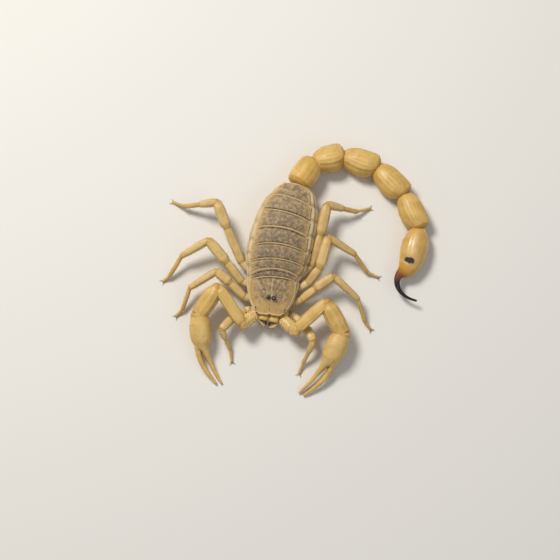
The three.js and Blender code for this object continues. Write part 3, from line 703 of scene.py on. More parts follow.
# A closed plate of the shell: an outer face, an inner one below it, and the edges between them.
def addPlate(heap, outer, inner, **marks):
    rows, columns = outer.shape[:2]
    count = rows * columns
    face = gridFaces(rows, columns, False)
    under = face[:, ::-1] + count
    edge = np.concatenate([
        np.arange(columns), np.arange(1, rows) * columns + columns - 1,
        (rows - 1) * columns + np.arange(columns - 2, -1, -1), np.arange(rows - 2, 0, -1) * columns,
    ])
    after = np.roll(edge, -1)
    border = np.stack([edge, after, after + count, edge + count], -1)
    points = np.vstack([outer.reshape(-1, 3), inner.reshape(-1, 3)])
    flat = {}
    for key, values in marks.items():
        values = np.broadcast_to(values, (rows, columns)).reshape(-1)
        flat[key] = np.concatenate([values, values])
    heap.add(points, [face, under, border], flat)


def addPlateGrains(heap, outer, higher, rows, columns, radius, **marks):
    at = outer[rows, columns]
    addGrains(heap, at, higher[rows, columns] - at, radius, **marks)


plateProbe = 0.3 * mm  # how far above a plate its outward ways are read


def plateGrid(look):  # shares from front to rear, and from the left end (1) to the right one (-1)
    return np.linspace(0, 1, look["rows"])[:, None], np.linspace(1, -1, look["columns"])[None, :]


def plateFaces(s, angle, lift, thick):  # the outer face, the inner one and one above them both
    return (trunkAt(s, angle, lift + more) for more in (0, -thick, plateProbe))


def swell(distance, high, at, wide):  # a raised line on a plate, all in mm
    return high * mm * hump(distance, at * mm, wide * mm)


def fall(distance, deep, wide):  # how far a plate bends down at its edge, all in mm
    return deep * mm * (1 - ramp(distance, 0, wide * mm))


# Back plates. Each one's rear rim stands proud of the next one's sunk front strip, and that strip is
# painted dark as the shadow under the rim. Each rim has a groove this far (mm) before its rear edge, with
# painted shade in it, and some rims have a second pale line before the first.
# Swells are height, place and width in mm, falls are depth and width, and grains are counted per mm.
tergiteLook = {
    "thick": 0.35 * mm, "overlap": 0.5 * mm, "rise": 0.2 * mm, "sunk": 0.22 * mm, "rim": 0.26 * mm,
    "rows": 64, "columns": 140, "shadedGrooveAt": [0.7, 0.45, 0.45, 0.62, 0.5, 0.5, 0.5],
    "shadedGroove": [1.0, 0.7, 0.7, 1.0, 0.4, 0.3, 0.1], "second": [0, 0.45, 0.45, 0, 0, 0, 0],
    "frontShadow": [0.5, 0.4, 0.4, 0.45, 0.2, 1.0, 0.4], "shade": [0.8, 0.8, 0.8, 0.8, 0.75, 0.6, 0.35],
    "corner": 0.4 * mm, "slope": 0.85, "lip": (0.09, 0.13, 0.12), "rearFall": (0.14, 0.1),
    "grooveDeep": 0.12, "grooveWide": 0.15, "secondLip": (0.07, 0.72, 0.13), "sideLip": (0.06, 0.16, 0.12),
    "sideFall": (0.16, 0.12), "middleKeel": 0.015 * mm, "frontGroove": (0.05, 0.8, 0.12),
    "grains": 190, "grainSizes": (0.03, 0.075), "paleGrains": 0.45, "rowGrain": 0.055 * mm, "rowStep": 3,
    "rowBefore": 0.42 * mm,
}


def makeTergite(k):
    look = tergiteLook
    u, v = plateGrid(look)
    corner = look["corner"] * ramp(np.abs(v), 0.9, 1.0)
    front, rear = rimLine(k - 1, v) - look["overlap"], rimLine(k, v) - corner
    s = front + (rear - front) * u
    toRear, fromFront = rear - s, s - rimLine(k - 1, v)
    toSide = (1 - np.abs(v)) * trunkHalf(s) * look["slope"]
    second, shadedGroove, shadedGrooveAt = (look[key][k - 1] for key in ("second", "shadedGroove", "shadedGrooveAt"))
    lift = look["rise"] * (0.1 + 0.9 * u**1.5) - look["sunk"] * (1 - ramp(fromFront, -0.2 * mm, 0.7 * mm))
    lift = lift + swell(toRear, *look["lip"]) - fall(toRear, *look["rearFall"])
    lift = lift - shadedGroove * swell(toRear, look["grooveDeep"], shadedGrooveAt, look["grooveWide"])
    lift = lift + second * swell(toRear, *look["secondLip"])
    lift = lift + swell(toSide, *look["sideLip"]) - fall(toSide, *look["sideFall"])
    lift = lift + look["middleKeel"] * hump(v, 0, 0.035) * ramp(u, 0.3, 0.5)
    lift = lift - swell(fromFront, *look["frontGroove"])
    outer, inner, higher = plateFaces(s, roofAngle(plateShare(s, v)), lift, look["thick"])

    pale = 1 - ramp(toRear, look["rim"] - 0.08 * mm, look["rim"] + 0.05 * mm)
    pale = np.maximum(pale, second * hump(toRear, look["secondLip"][1] * mm, 0.12 * mm))
    pale = np.maximum(pale, 0.8 * (1 - ramp(toSide, 0.14 * mm, 0.34 * mm)))
    # Painted shade: a dark line in each rim's groove, and a dark strip on the sunk front as the shadow under
    # the rim before it.
    grooveShade = shadedGroove * hump(toRear, shadedGrooveAt * mm, look["grooveWide"] * mm) * (1 - ramp(np.abs(v), 0.7, 1))
    shadowStrip = look["frontShadow"][k - 1] * hump(fromFront, 0.14 * mm, 0.2 * mm)
    shade = look["shade"][k - 1] * (1 - ramp(np.abs(v), 0.62, 1.0)) * (0.6 + 0.4 * (1 - ramp(u, 0.4, 0.8)))
    heap = Heap()
    addPlate(heap, outer, inner, rim=np.clip(pale - 0.8 * grooveShade, 0, 1), dark=shade * (1 - pale),
             line=np.clip(np.maximum(grooveShade, shadowStrip), 0, 1), warm=0.6 * ramp(np.abs(v), 0.68, 0.98))
    long = rimPlaces[k] - rimPlaces[k - 1]
    count = int(look["grains"] * long / mm)
    rows = dice.integers(int(0.25 * look["rows"]), int(0.9 * look["rows"]), count)
    columns = dice.integers(4, look["columns"] - 4, count)
    pale = np.where(dice.uniform(size=count) < look["paleGrains"], 0.65, 0.0)
    size = dice.uniform(*look["grainSizes"], count) * mm
    addPlateGrains(heap, outer, higher, rows, columns, size, rim=pale, grain=0.3 * (pale == 0))
    beside = np.arange(look["rowStep"], look["columns"] - look["rowStep"], look["rowStep"])
    row = int(look["rows"] * (1 - look["rowBefore"] / long))
    addPlateGrains(heap, outer, higher, row, beside, look["rowGrain"], rim=0.4)
    return heap.make(f"tergite_{k}", brownShell, "cuticle_brown", f"mesosoma_{k}")


# The soft skin between back and belly plates: a body inside them with two folds along each flank and one
# below. Folds are place, width and strength, where 0 is the widest place and 1 the back plates' edges.
flankLook = {
    "rows": 200, "columns": 190, "inset": 0.12 * mm, "fold": 0.4 * mm, "ends": (0.6 * mm, 0.3 * mm),
    "upper": (0.72, 0.17), "middle": (0.16, 0.26), "lower": (-0.45, 0.18), "lowerShare": 0.7,
    "pinchBefore": 0.5 * mm, "pinchWide": 0.5 * mm, "pinch": 0.75, "tuckUnder": 0.4 * mm,
}


def makeFlanks():
    look = flankLook
    s = np.linspace(look["ends"][0], trunkSteps[-1] - look["ends"][1], look["rows"])[:, None]
    angle = np.linspace(0, 2 * math.pi, look["columns"], endpoint=False)[None, :]
    left, right = (roofAngle(np.interp(s, rimPlaces, rimLook[side])) for side in ("left", "right"))
    toward = np.minimum(angle, 2 * math.pi - angle) < math.pi / 2
    gap = np.where(toward, left, right)
    fromSide = np.where(toward, (angle + math.pi) % (2 * math.pi) - math.pi, math.pi - angle)
    across = fromSide / gap
    pinch = np.max([hump(s, at - look["pinchBefore"], look["pinchWide"]) for at in rimPlaces], axis=0)
    swelling = 1 - look["pinch"] * pinch
    folds = np.maximum(hump(across, *look["middle"]), hump(across, *look["upper"]) * ramp(gap, 0.5, 0.62))
    folds = np.maximum(folds, look["lowerShare"] * hump(across, *look["lower"]))
    lift = look["fold"] * (folds - 0.35) * swelling - look["inset"]
    lift = lift - look["tuckUnder"] * ramp(across, 0.95, 1.15)
    grid = trunkAt(s, angle, lift)
    skin = {"grid": grid, "along": np.linspace(0, 1, len(s)), "normals": normalsOf(grid),
            "ends": grid[[0, -1]].mean(axis=1)}
    # Painted shade: the skin is darker in the creases between the folds and at the pinches between segments.
    # It is paler on the fold crests, partly the skin's own pale bands and partly painted highlight.
    creaseShade = np.clip(0.9 - 1.6 * folds, 0, 1) * ramp(across, -0.8, -0.3) + 0.6 * pinch
    heap = Heap()
    addSkin(heap, skin, dark=lambda u, a: 0.55 * np.clip(creaseShade, 0, 1), rim=lambda u, a: folds * swelling)
    nodes = [f"mesosoma_{k}" for k in range(3, 8)]
    return heap.make("flank_skin", softSkin, "cuticle_pale", *nodes)


for k in range(1, 8):
    makeTergite(k)
makeFlanks()
print("trunk made")


# The head's shield, with the mound that carries the eyes, its furrows and its raised pale rim. The outline
# gives half widths at distances from the front edge. Keels and furrows are height, place and width. Reaches
# say where something begins and is full, counted from the eyes toward the rear. The grains thin out toward
# the front over "thinOut". All these are in mm.
shieldLook = {
    "thick": 0.4 * mm, "rows": 160, "columns": 210, "mound": 0.62 * mm, "moundWide": 1.15 * mm,
    "moundLong": 1.75 * mm, "rim": 0.17, "grains": 3200,
    "outline": [(0, 3.05), (0.5, 3.85), (1.0, 4.3), (1.8, 4.75), (2.8, 5.15), (4, 5.45), (5.5, 5.7),
                (9.5, 5.8)],
    "frontInset": 0.04 * mm, "frontNotch": 0.26 * mm, "frontCorner": 0.5 * mm, "rearCorner": 0.75 * mm,
    "widest": 0.96, "slope": 1.1, "behind": (1.3, 2.3), "ahead": (-1.6, -0.8),
    "betweenEyes": (0.2, 0, 0.3), "frontFurrow": (0.15, 0, 0.16), "rearFurrow": (0.13, 0.24, 0.12),
    "sideFurrow": (0.24, 0, 0.4), "keel": (0.16, 0, 0.22), "brow": (0.07, 0, 0.28), "cheek": (0.12, 3.3, 0.5),
    "cheekFurrow": (0.16, 2.8, 0.5), "rearGroove": (0.16, 0.5, 0.15), "eyeAside": 0.55 * mm,
    "eyeRing": (0.1, 0.62, 0.12), "edge": (0.2, 0.12),
    "grainSizes": (0.03, 0.085), "paleGrains": 0.6, "eyeGap": 0.75 * mm, "thinOut": (-4, 1.5),
    "keelGrains": (1.7, 4.8), "browGrains": (-3.4, -1.2), "rowStep": 0.24, "rowGrain": 0.085 * mm,
}
shieldStreaks = [  # angle seen from a point before the eyes, width and depth
    (-0.95, 0.10, 0.35), (-0.72, 0.06, 0.5), (-0.5, 0.08, 0.8), (-0.3, 0.06, 0.65), (-0.13, 0.05, 0.9),
    (0.13, 0.07, 0.95), (0.33, 0.05, 0.5), (0.5, 0.08, 0.85), (0.74, 0.07, 0.6), (0.98, 0.1, 0.3),
]


def between(x, low, high):  # 0 below low and 1 above high, both in mm
    return ramp(x, low * mm, high * mm)


def makeShield():
    look = shieldLook
    u, v = plateGrid(look)
    front = look["frontInset"] + look["frontNotch"] * hump(v, 0, 0.09)
    front = front + look["frontCorner"] * ramp(np.abs(v), 0.72, 1) ** 2
    rear = rimLine(0, v) - look["rearCorner"] * ramp(np.abs(v), 0.8, 1) ** 2
    s = front + (rear - front) * u
    half = trunkHalf(s)
    outline = smoothThrough(*np.array(look["outline"]).T * mm, s)
    outline = np.minimum(outline, look["widest"] * half)
    x = v * outline
    away, far = s - trunkSteps[1], np.abs(x)
    behind, ahead = between(away, *look["behind"]), 1 - between(away, *look["ahead"])
    keel, brow = 1.75 * mm + 0.1 * away, 0.75 * mm - 0.28 * (away + 0.8 * mm)
    spread = 0.9 * mm + 0.5 * (away - 1.3 * mm)
    toEye = np.hypot(far - look["eyeAside"], away)
    toSide = (1 - np.abs(v)) * outline * look["slope"]
    toEdge = np.minimum(np.minimum(toSide, s - front), rear - s)
    lift = look["mound"] * np.exp(-((x / look["moundWide"]) ** 2) - (away / look["moundLong"]) ** 2)
    lift = lift - swell(x, *look["betweenEyes"]) * hump(away, 0, 1.2 * mm)
    lift = lift - swell(x, *look["frontFurrow"]) * ahead * between(s, 0, 0.8)
    lift = lift - swell(far, *look["rearFurrow"]) * behind
    lift = lift - swell(far - spread, *look["sideFurrow"]) * behind * (1 - between(away, 4.3, 5.1))
    lift = lift + swell(far - keel, *look["keel"]) * between(away, 1.6, 2.5)
    lift = lift + swell(far - brow, *look["brow"]) * ahead
    lift = lift - swell(far - 0.2 * away, *look["cheekFurrow"]) * hump(away, 0.6 * mm, 2.0 * mm)
    lift = lift + swell(far, *look["cheek"]) * hump(s, 1.4 * mm, 0.8 * mm)
    lift = lift - swell(rear - s, *look["rearGroove"])
    lift = lift + swell(toEye, *look["eyeRing"])
    lift = lift + swell(toEdge, 0.14, look["rim"], 0.12) - fall(toEdge, *look["edge"])
    outer, inner, higher = plateFaces(s, roofAngle(x / half), lift, look["thick"])

    pale = 1 - between(toEdge, 0.22, 0.36)
    midline = hump(x, 0, 0.12 * mm) * np.maximum(0.85 * behind, 0.5 * hump(away, 0, 1.3 * mm))
    pale = np.maximum(pale, midline)
    turn = np.arctan2(x, away + 1.5 * mm)
    streaks = np.max([depth * hump(turn, at, width) for at, width, depth in shieldStreaks], axis=0)
    shade = streaks * between(away, -0.2, 1.2) * (1 - between(far, 3.2, 4.9))
    shade = np.maximum(shade, 0.6 * hump(x, 0, 1.7 * mm) * hump(away, 0.5 * mm, 1.3 * mm))
    warm = np.maximum(1 - between(away, -2.0, 0.3), 0.8 * between(far, 3.0, 4.8))
    # Painted shade: a dark line in the groove before the rear rim.
    grooveShade = 0.9 * hump(rear - s, look["rearGroove"][1] * mm, 0.12 * mm) * (1 - ramp(np.abs(v), 0.5, 0.8))
    heap = Heap()
    addPlate(heap, outer, inner, rim=pale, dark=shade * (1 - pale), line=grooveShade, warm=warm)
    rows = dice.integers(6, look["rows"] - 10, look["grains"])
    columns = dice.integers(5, look["columns"] - 5, look["grains"])
    least = dice.uniform(*look["thinOut"], len(rows)) * mm
    keep = (toEye[rows, columns] > look["eyeGap"]) & (away[rows, columns] > least)
    rows, columns = rows[keep], columns[keep]
    tint = np.where(dice.uniform(size=len(rows)) < look["paleGrains"], 0.5, 0.0)
    size = dice.uniform(*look["grainSizes"], len(rows)) * mm
    addPlateGrains(heap, outer, higher, rows, columns, size, rim=tint, grain=0.3 * (tint == 0))
    for line, (low, high) in ((keel, look["keelGrains"]), (brow, look["browGrains"])):
        for sign in (-1, 1):
            for step in np.arange(low, high, look["rowStep"]) * mm:
                row = int(np.abs(away[:, look["columns"] // 2] - step).argmin())
                column = int(np.abs(sign * x[row] - line[row]).argmin())
                addPlateGrains(heap, outer, higher, [row], [column], look["rowGrain"], rim=0.35)
    return heap.make("head_shield", brownShell, "cuticle_brown", "carapace")


# A ball with a point at both poles, for lenses and low mounds.
def addBall(heap, middle, radius, around=40, stretch=(1, 1, 1), **marks):
    rise = np.linspace(0, math.pi, around // 2)[1:-1, None]
    turn = np.linspace(0, 2 * math.pi, around, endpoint=False)
    way = np.sin(rise) * np.cos(turn), np.sin(rise) * np.sin(turn), np.cos(rise)
    grid = np.stack(np.broadcast_arrays(*way), -1)
    points = np.vstack([grid.reshape(-1, 3), zUp, -zUp]) * np.array(stretch) * radius + middle
    heap.add(points, tubeFaces(len(rise), around), marks)


eyeLook = {  # the side eyes' places and radii, aside, back and radius in mm
    "sideEyes": [(3.1, 0.42, 0.2), (3.35, 1.0, 0.15), (3.5, 1.6, 0.2)], "sideLift": 0.14 * mm,
    "sideAround": 20, "widest": 0.95,
}


def makeEyes():
    look = eyeLook
    for side in ("right", "left"):
        low, high = (np.array(corner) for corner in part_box(f"eye_{side}"))
        heap = Heap()
        addBall(heap, (low + high) / 2, (high[0] - low[0]) / 2)
        heap.make(f"median_eye_{side}", eyeLens, "eye_black", f"eye_{side}")
    heap = Heap()
    for sign in (-1, 1):
        for aside, back, radius in look["sideEyes"]:
            angle = roofAngle(sign * min(aside * mm / trunkHalf(back * mm), look["widest"]))
            addBall(heap, trunkAt(back * mm, angle, look["sideLift"]), radius * mm, look["sideAround"])
    heap.make("side_eyes", eyeLens, "eye_black")


# Jaws: a stout hand under the shield's front edge. Its outer finger is pale and curves inward in front of
# the short dark one, and both have teeth. A finger's root is counted from the hand's front end, and its tip
# from the jaw's inner side and front edge, in mm. Teeth are a place along the finger and a length in mm.
jawLook = {
    "hand": {"steps": 40, "around": 64, "square": (2.8, 2.4), "tuck": (0.4, 0.35)},
    "finger": {"steps": 40, "around": 28, "square": (2, 2), "tuck": (0.3, 0.9)},
    "half": 1.14 * mm, "reach": 1.55 * mm, "hairs": 40, "overlap": 0.06 * mm, "height": 4.5 * mm,
    "places": [0, 0.2, 0.55, 0.85, 1.0], "shares": [0.75, 0.95, 1.05, 1.05, 0.85],
    "section": (1.0, 1.0, 0.85, 0.8),
    "outer": {"root": (0.7, 0.25, -0.12), "tip": (0.25, 0.15), "height": 3.85 * mm, "thick": 0.46 * mm},
    "inner": {"root": (-0.3, 0.1, 0.05), "tip": (0.12, 0.75), "height": 4.05 * mm, "thick": 0.42 * mm},
    "bow": 0.5 * mm, "hairLong": (0.35, 0.7), "hairThick": 0.02 * mm,
    "teeth": [(0.3, 0.2), (0.47, 0.26), (0.64, 0.22), (0.8, 0.15)], "toothThick": 0.1 * mm,
}


def makeJaws():
    look = jawLook
    share = np.linspace(0, 1, 7)[:, None]
    for sign, side in ((-1, "right"), (1, "left")):
        low, high = (np.array(corner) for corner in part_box(f"chelicera_{side}"))
        inner = low[0] if sign > 0 else high[0]
        x = inner + sign * (look["half"] - look["overlap"])
        start = np.array([x, high[1], look["height"]])
        end = np.array([x, low[1] + look["reach"], look["height"]])
        sizes = np.array(look["shares"])[:, None] * np.array([look["section"]]) * look["half"]
        hand = limbSkin(start, end, zUp, np.array(look["places"]), sizes, look["hand"])

        def finger(own, taper, bow=0.0):
            root = end + np.array(own["root"]) * [sign, 1, 1] * mm
            aside, ahead = own["tip"]
            tip = np.array([inner + sign * aside * mm, low[1] + ahead * mm, own["height"]])
            thick = np.repeat(own["thick"] * taper, 4, axis=1)
            return bentSkin(root + (tip - root) * share + bow, zUp, thick, look["finger"])

        heap = Heap()
        addSkin(heap, hand, rim=lambda u, a: 0.4 * hump(u, 0.8, 0.12), line=lambda u, a: ramp(u, 0.97, 1.0),
                dark=lambda u, a: 0.5 * (1 - ramp(u, 0.3, 0.5)))
        bow = sign * look["bow"] * np.sin(math.pi * share**0.9) * np.array([[1.0, -0.35, 0]])
        swing = finger(look["outer"], 1 - 0.7 * share**1.6, bow)
        addSkin(heap, swing, rim=lambda u, a: 0.5 * hump(u, 0.5, 0.3),
                line=lambda u, a: 0.9 * ramp(u, 0.8, 1.0))
        turns = dice.uniform(0.6, 1.0, look["hairs"]), dice.uniform(0, 2 * math.pi, look["hairs"])
        at, way = onSkin(hand, *turns)
        long = dice.uniform(*look["hairLong"], look["hairs"]) * mm
        addThorns(heap, at, way + [0, -0.9, 0], long, look["hairThick"], marks={"rim": 0.8})
        heap.make(f"jaw_hand_{side}", amberShell, "cuticle_amber", f"chelicera_{side}")

        dark = Heap()
        fixed = finger(look["inner"], 1 - 0.6 * share)
        addSkin(dark, fixed)
        places, sizes = np.array(look["teeth"]).T
        facing = math.pi if sign > 0 else 0
        for skin, turn in ((fixed, math.pi - facing), (swing, facing)):
            at, way = onSkin(skin, places, np.full(len(places), turn))
            addThorns(dark, at, way, sizes * mm, look["toothThick"], blunt=0.3)
        dark.make(f"jaw_teeth_{side}", hornShell, "cuticle_dark", f"chelicera_{side}")


makeShield()
makeEyes()
makeJaws()
print("head made")


# Tail segments: swollen links with rows of grains, each hooked into the one before. Angles go round the
# section, from the inside of the tail's curl (0) over the back (90) to its outside (180). Each keel is an
# angle, a ridge and a grain size and the step between grains in mm, a darkness, and the first segment
# without it.
tailLook = {
    "skin": {"steps": 110, "around": 160, "square": (2.1, 2.3), "tuck": (0.7, 0.3), "capSteps": 9},
    "keels": [
        (133, 0.05, 0.07, 0.4, 0.5, 6), (70, 0.05, 0.12, 0.5, 0.0, 6), (188, 0.04, 0.05, 0.3, 0.2, 6),
        (227, 0.09, 0.15, 0.56, 0.85, 6), (28, 0.05, 0.07, 0.3, 0.1, 4), (-14, 0.08, 0.09, 0.34, 0.3, 6),
        (268, 0.07, 0.08, 0.34, 0.3, 5), (306, 0.07, 0.08, 0.34, 0.3, 5),
    ],
    "dotted": 133, "dots": {2: 1.0, 3: 0.85}, "dotSize": 0.075, "dotSpread": 0.75, "keelWide": 4.5,
    "keelSide": (0.15, 9, 5), "trough": (0.05, 124, 8), "lip": 0.1, "neck": 0.12, "slope": 0.55,
    "slopeAt": (222, 60), "corner": 0.2, "cornerAt": (226, 24), "firstTuck": (0.3, 0.3),
    "firstRings": (0.9, 0.97),
    "rootHigh": 4.5 * mm, "rows": (0.07, 0.955), "rowGrains": 0.88, "sizes": (0.8, 1.1), "tall": 1.6,
    "scatter": (420, 0.08, 0.92, (0.022 * mm, 0.045 * mm)), "hairs": (22, 0.1, 0.95, 0.6 * mm),
}
# Painted highlights: pale lines along the flutes of each segment's outer face, where light catches them.
fluteHighlightLook = {  # thin pale lines that fan out along the outer face: degrees from the middle one, strength
    "middle": 158, "wide": 3, "lines": [(-13, 0.6), (0, 0.8), (12, 0.7), (24, 0.4)],
}


def turnGap(angle, place):  # degrees from a place round a section
    return (np.degrees(angle) - place + 180) % 360 - 180


def turned(a, place, wide):  # 1 at a place round a section, fading over this many degrees
    return hump(turnGap(a, place), 0, wide)


def arch(u):  # 0 at both ends of a piece, 1 in its middle
    return np.sin(math.pi * np.clip(u, 0, 1))


def readLimb(names, hint):  # the rings of links that follow one another
    rows = []
    for name in names:
        rows.append(readRings(name, hint))
        hint = rows[-1][-1][0]
    return rows


def tailRelief(k):
    look = tailLook

    def relief(u, a):
        body = ramp(u, 0.02, 0.16) * (1 - ramp(u, 0.9, 0.99))
        deep, place, wide = look["trough"]
        lift = -deep * turned(a, place, wide) * arch(u) ** 0.8
        share, aside, wide = look["keelSide"]
        for place, high, _, _, _, until in look["keels"]:
            if k < until:
                beside = turned(a, place + aside, wide) + turned(a, place - aside, wide)
                lift = lift + body * high * (turned(a, place, look["keelWide"]) - share * beside)
        if k > 1:
            outside = turned(a, *look["slopeAt"]) * (1 - ramp(u, 0, 0.4))
            lift = lift - look["neck"] * (1 - ramp(u, 0, 0.13)) - look["slope"] * outside
        lift = lift + look["corner"] * turned(a, *look["cornerAt"]) * ramp(u, 0.5, 0.95)
        return (lift + look["lip"] * hump(u, 0.965, 0.018)) * mm

    return relief


def backWay(rings, start, end):  # the back is the fuller side of a segment
    way = unit(end - start)
    off = np.vstack([ring.mean(axis=0) - start for ring in rings[3:6]]).mean(axis=0)
    return unit(off - (off @ way) * way)


def fluteHighlights(u, a):
    look = fluteHighlightLook
    fan = 0.7 + 0.6 * arch(u)
    lines = (share * turned(a, look["middle"] + fan * at, look["wide"]) for at, share in look["lines"])
    return arch(u) ** 0.7 * sum(lines)


def tailWarmth(u, a):
    ends = np.maximum(0.9 * ramp(u, 0.95, 0.99), 0.45 * (1 - ramp(u, 0.0, 0.12)))
    return np.maximum(ends, 0.5 * turned(a, 85, 24))


def makeTail():
    look = tailLook
    names = [f"metasoma_{k}" for k in range(1, 6)] + ["telson"]
    rows = readLimb(names, trunkLine[-1] + look["rootHigh"] * zUp)
    joints = [rows[0][0][0]] + [jointBetween(a, b) for a, b in zip(rows, rows[1:])]
    for k, (rings, start, end) in enumerate(zip(rows, joints, joints[1:]), 1):
        up = backWay(rings, start, end)
        places, reach = girthOf(rings[1:-1], start, end, up)
        reach[:2] *= np.array(look["firstRings"])[:, None]
        shape = {**look["skin"], "tuck": look["firstTuck"]} if k == 1 else look["skin"]
        skin = limbSkin(start, end, up, places, reach, shape, tailRelief(k))
        heap = Heap()
        # The rim mark here is the painted flute highlights.
        addSkin(heap, skin, rim=fluteHighlights, dark=lambda u, a: 0.5 * (1 - ramp(u, 0.02, 0.07)),
                line=lambda u, a: 0.3 * ramp(u, 0.985, 1.0), warm=tailWarmth)
        length = np.linalg.norm(end - start)
        for place, _, grain, step, dark, until in look["keels"]:
            if k >= until:
                continue
            strong = look["dots"].get(k, 0) if place == look["dotted"] else 0
            count = int(look["rowGrains"] * length / (step * mm) * (look["dotSpread"] if strong else 1))
            share = np.linspace(*look["rows"], count)
            points, ways = onSkin(skin, share, np.full(count, math.radians(place % 360)))
            size = (grain + look["dotSize"] * strong) * mm * dice.uniform(*look["sizes"], count)
            marks = {"grain": max(dark if k < 4 else 0.45 * dark, strong), "line": 0.6 * strong}
            addGrains(heap, points, ways, size * (0.8 + 0.45 * share), tall=look["tall"], **marks)
        addScatter(heap, skin, *look["scatter"], grain=0.2)
        addBristles(f"tail_{k}", skin, *look["hairs"])
        heap.make(f"tail_{k}", amberShell, "cuticle_amber", f"metasoma_{k}")
    return rows[-1], joints[-1]


# The sting: a swollen bulb that runs out into a hollow needle. Rows of pits run along the bulb. A pit is
# its ridge's height in mm and width in degrees, and its hollow's depth, degrees aside and width.
stingLook = {
    "skin": {"steps": 200, "around": 128, "square": (2.05, 2.05), "tuck": (0.5, 1.0)},
    "spot": {"at": 0.412, "long": 0.036, "turn": 82, "wide": 32}, "ragged": ((0.22, 5, 40), (0.16, 13, -90)),
    "pits": 22, "pitRows": [98, 112, 60, 128, 20, 200, 250, 300, 340], "pitReach": (0.12, 0.38), "pitTurn": 3,
    "ridge": (0.05, 7), "hollow": (0.04, 16, 6), "waist": 0.1, "waistAt": (0.435, 0.03),
    "waistTurn": (60, 60), "grainSizes": (0.03, 0.06), "darkGrains": 0.4, "gleam": (82, 16),
    "hairs": (40, 0.08, 0.42, 0.7 * mm),
}


def stingRelief(u, a):
    look = stingLook
    (ridge, ridgeWide), (hollow, aside, hollowWide) = look["ridge"], look["hollow"]
    rows = look["pitRows"]
    lift = sum(ridge * turned(a, at, ridgeWide) - hollow * turned(a, at + aside, hollowWide) for at in rows)
    bulb = ramp(u, 0.04, 0.14) * (1 - ramp(u, 0.42, 0.52))
    waist = look["waist"] * hump(u, *look["waistAt"]) * turned(a, *look["waistTurn"])
    return (lift * bulb - waist) * mm


def stingSpot(u, a):  # the dark patch, with a ragged edge
    spot = stingLook["spot"]
    inside = ((u - spot["at"]) / spot["long"]) ** 2 + (turnGap(a, spot["turn"]) / spot["wide"]) ** 2
    ragged = sum(high * np.sin(turns * a + waves * u) for high, turns, waves in stingLook["ragged"])
    return 1 - ramp(inside + ragged, 0.5, 1.2)


def makeSting(rings, joint):
    look = stingLook
    centres = np.vstack([[joint], *[ring.mean(axis=0) for ring in rings[2:-1]]])
    side = unit(np.cross(unit(np.gradient(centres, axis=0)), zUp))
    reach = [halfSizes(ring - ring.mean(axis=0), across, zUp) for ring, across in zip(rings[1:-1], side)]
    skin = bentSkin(centres, zUp, np.array(reach), look["skin"], stingRelief)
    heap = Heap()
    # The rim mark is a painted highlight, a gleam along the bulb's back.
    addSkin(heap, skin, line=lambda u, a: 0.97 * stingSpot(u, a),
            dark=lambda u, a: 0.6 * (1 - ramp(u, 0.0, 0.03)),
            rim=lambda u, a: 0.7 * turned(a, *look["gleam"]) * ramp(u, 0.08, 0.18) * (1 - ramp(u, 0.3, 0.42)),
            warm=lambda u, a: 0.8 * turned(a, 175, 40) * ramp(u, 0.1, 0.4))
    for at in look["pitRows"]:
        turn = np.radians(at + dice.uniform(-look["pitTurn"], look["pitTurn"], look["pits"]))
        points, ways = onSkin(skin, np.linspace(*look["pitReach"], look["pits"]), turn)
        size = dice.uniform(*look["grainSizes"], look["pits"]) * mm
        dark = np.where(dice.uniform(size=look["pits"]) < look["darkGrains"], 0.85, 0.2)
        addGrains(heap, points, ways, size, tall=0.5, grain=dark)
    addBristles("sting", skin, *look["hairs"])
    heap.make("sting", stingShell, "cuticle_amber", "telson")


makeSting(*makeTail())
print("tail made")


# Each link of a leg or arm runs from joint to joint, with the rings of the solid that it stands for.
# At both ends it stays nearly as thick as beside them, so that the joints close.
def link(rings, start, end, neck=(0.88, 0.93)):
    places, reach = girthOf(rings, start, end, zUp)
    order = np.argsort(places)
    places, reach = places[order], reach[order]
    keep = np.concatenate([[True], np.diff(places) > 0.01])
    places, reach = places[keep], reach[keep]
    reach[0], reach[-1] = np.maximum(reach[0], neck[0] * reach[1]), np.maximum(reach[-1], neck[1] * reach[-2])
    return start, end, zUp, places, reach


def broad(part, share):  # the same link, this much wider across
    return (*part[:4], part[4] * [share, share, 1, 1])


def ridges(rows, lip=0.03):  # raised lines (angle, height in mm, width in degrees) and a rim at a limb's end
    def relief(u, a):
        body = ramp(u, 0.03, 0.15) * (1 - ramp(u, 0.89, 0.95))
        lift = lip * hump(u, 0.965, 0.02)
        for at, high, wide in rows:
            gap = turnGap(a, at)
            lift = lift + body * high * (hump(gap, 0, wide) - 0.3 * hump(np.abs(gap), 2.2 * wide, wide))
        return lift * mm

    return relief


def crests(rows, share=1.0, least=0.0):  # where those lines are paler
    def paint(u, a):
        pale = np.max([turned(a, at, wide) for at, _, wide in rows] or [0 * a], axis=0)
        return least + (share - least) * pale * np.sin(math.pi * u) ** 0.6

    return paint


def darkEnds(near, far, depth=0.6):  # browner shell at both joints
    return lambda u, a: depth * np.maximum(1 - ramp(u, 0, near), ramp(u, 1 - far, 1))


# One link's shell. Its dress says how pale its lines are (most and least), how far its ends are darker
# and warmer, and what stands on it: rows of grains on its lines, scattered grains, and hairs.
def addLink(heap, group, skin, rows, dress, **marks):
    addSkin(heap, skin, rim=crests(rows, *dress["pale"]), dark=darkEnds(*dress["dark"]),
            warm=darkEnds(*dress["warm"]), **marks)
    for at, _, _ in rows:
        addRow(heap, skin, at, *dress["row"], **dress["rowMarks"])
    addScatter(heap, skin, *dress["scatter"], grain=0.25)
    addBristles(group, skin, *dress["hairs"])


def addSpurs(heap, skin, way, share, angles, length, radius, lean, grain):  # thorns that lean along a limb
    at, out = onSkin(skin, share, np.radians(angles))
    addThorns(heap, at, out + lean * way, length, radius, marks={"grain": grain})


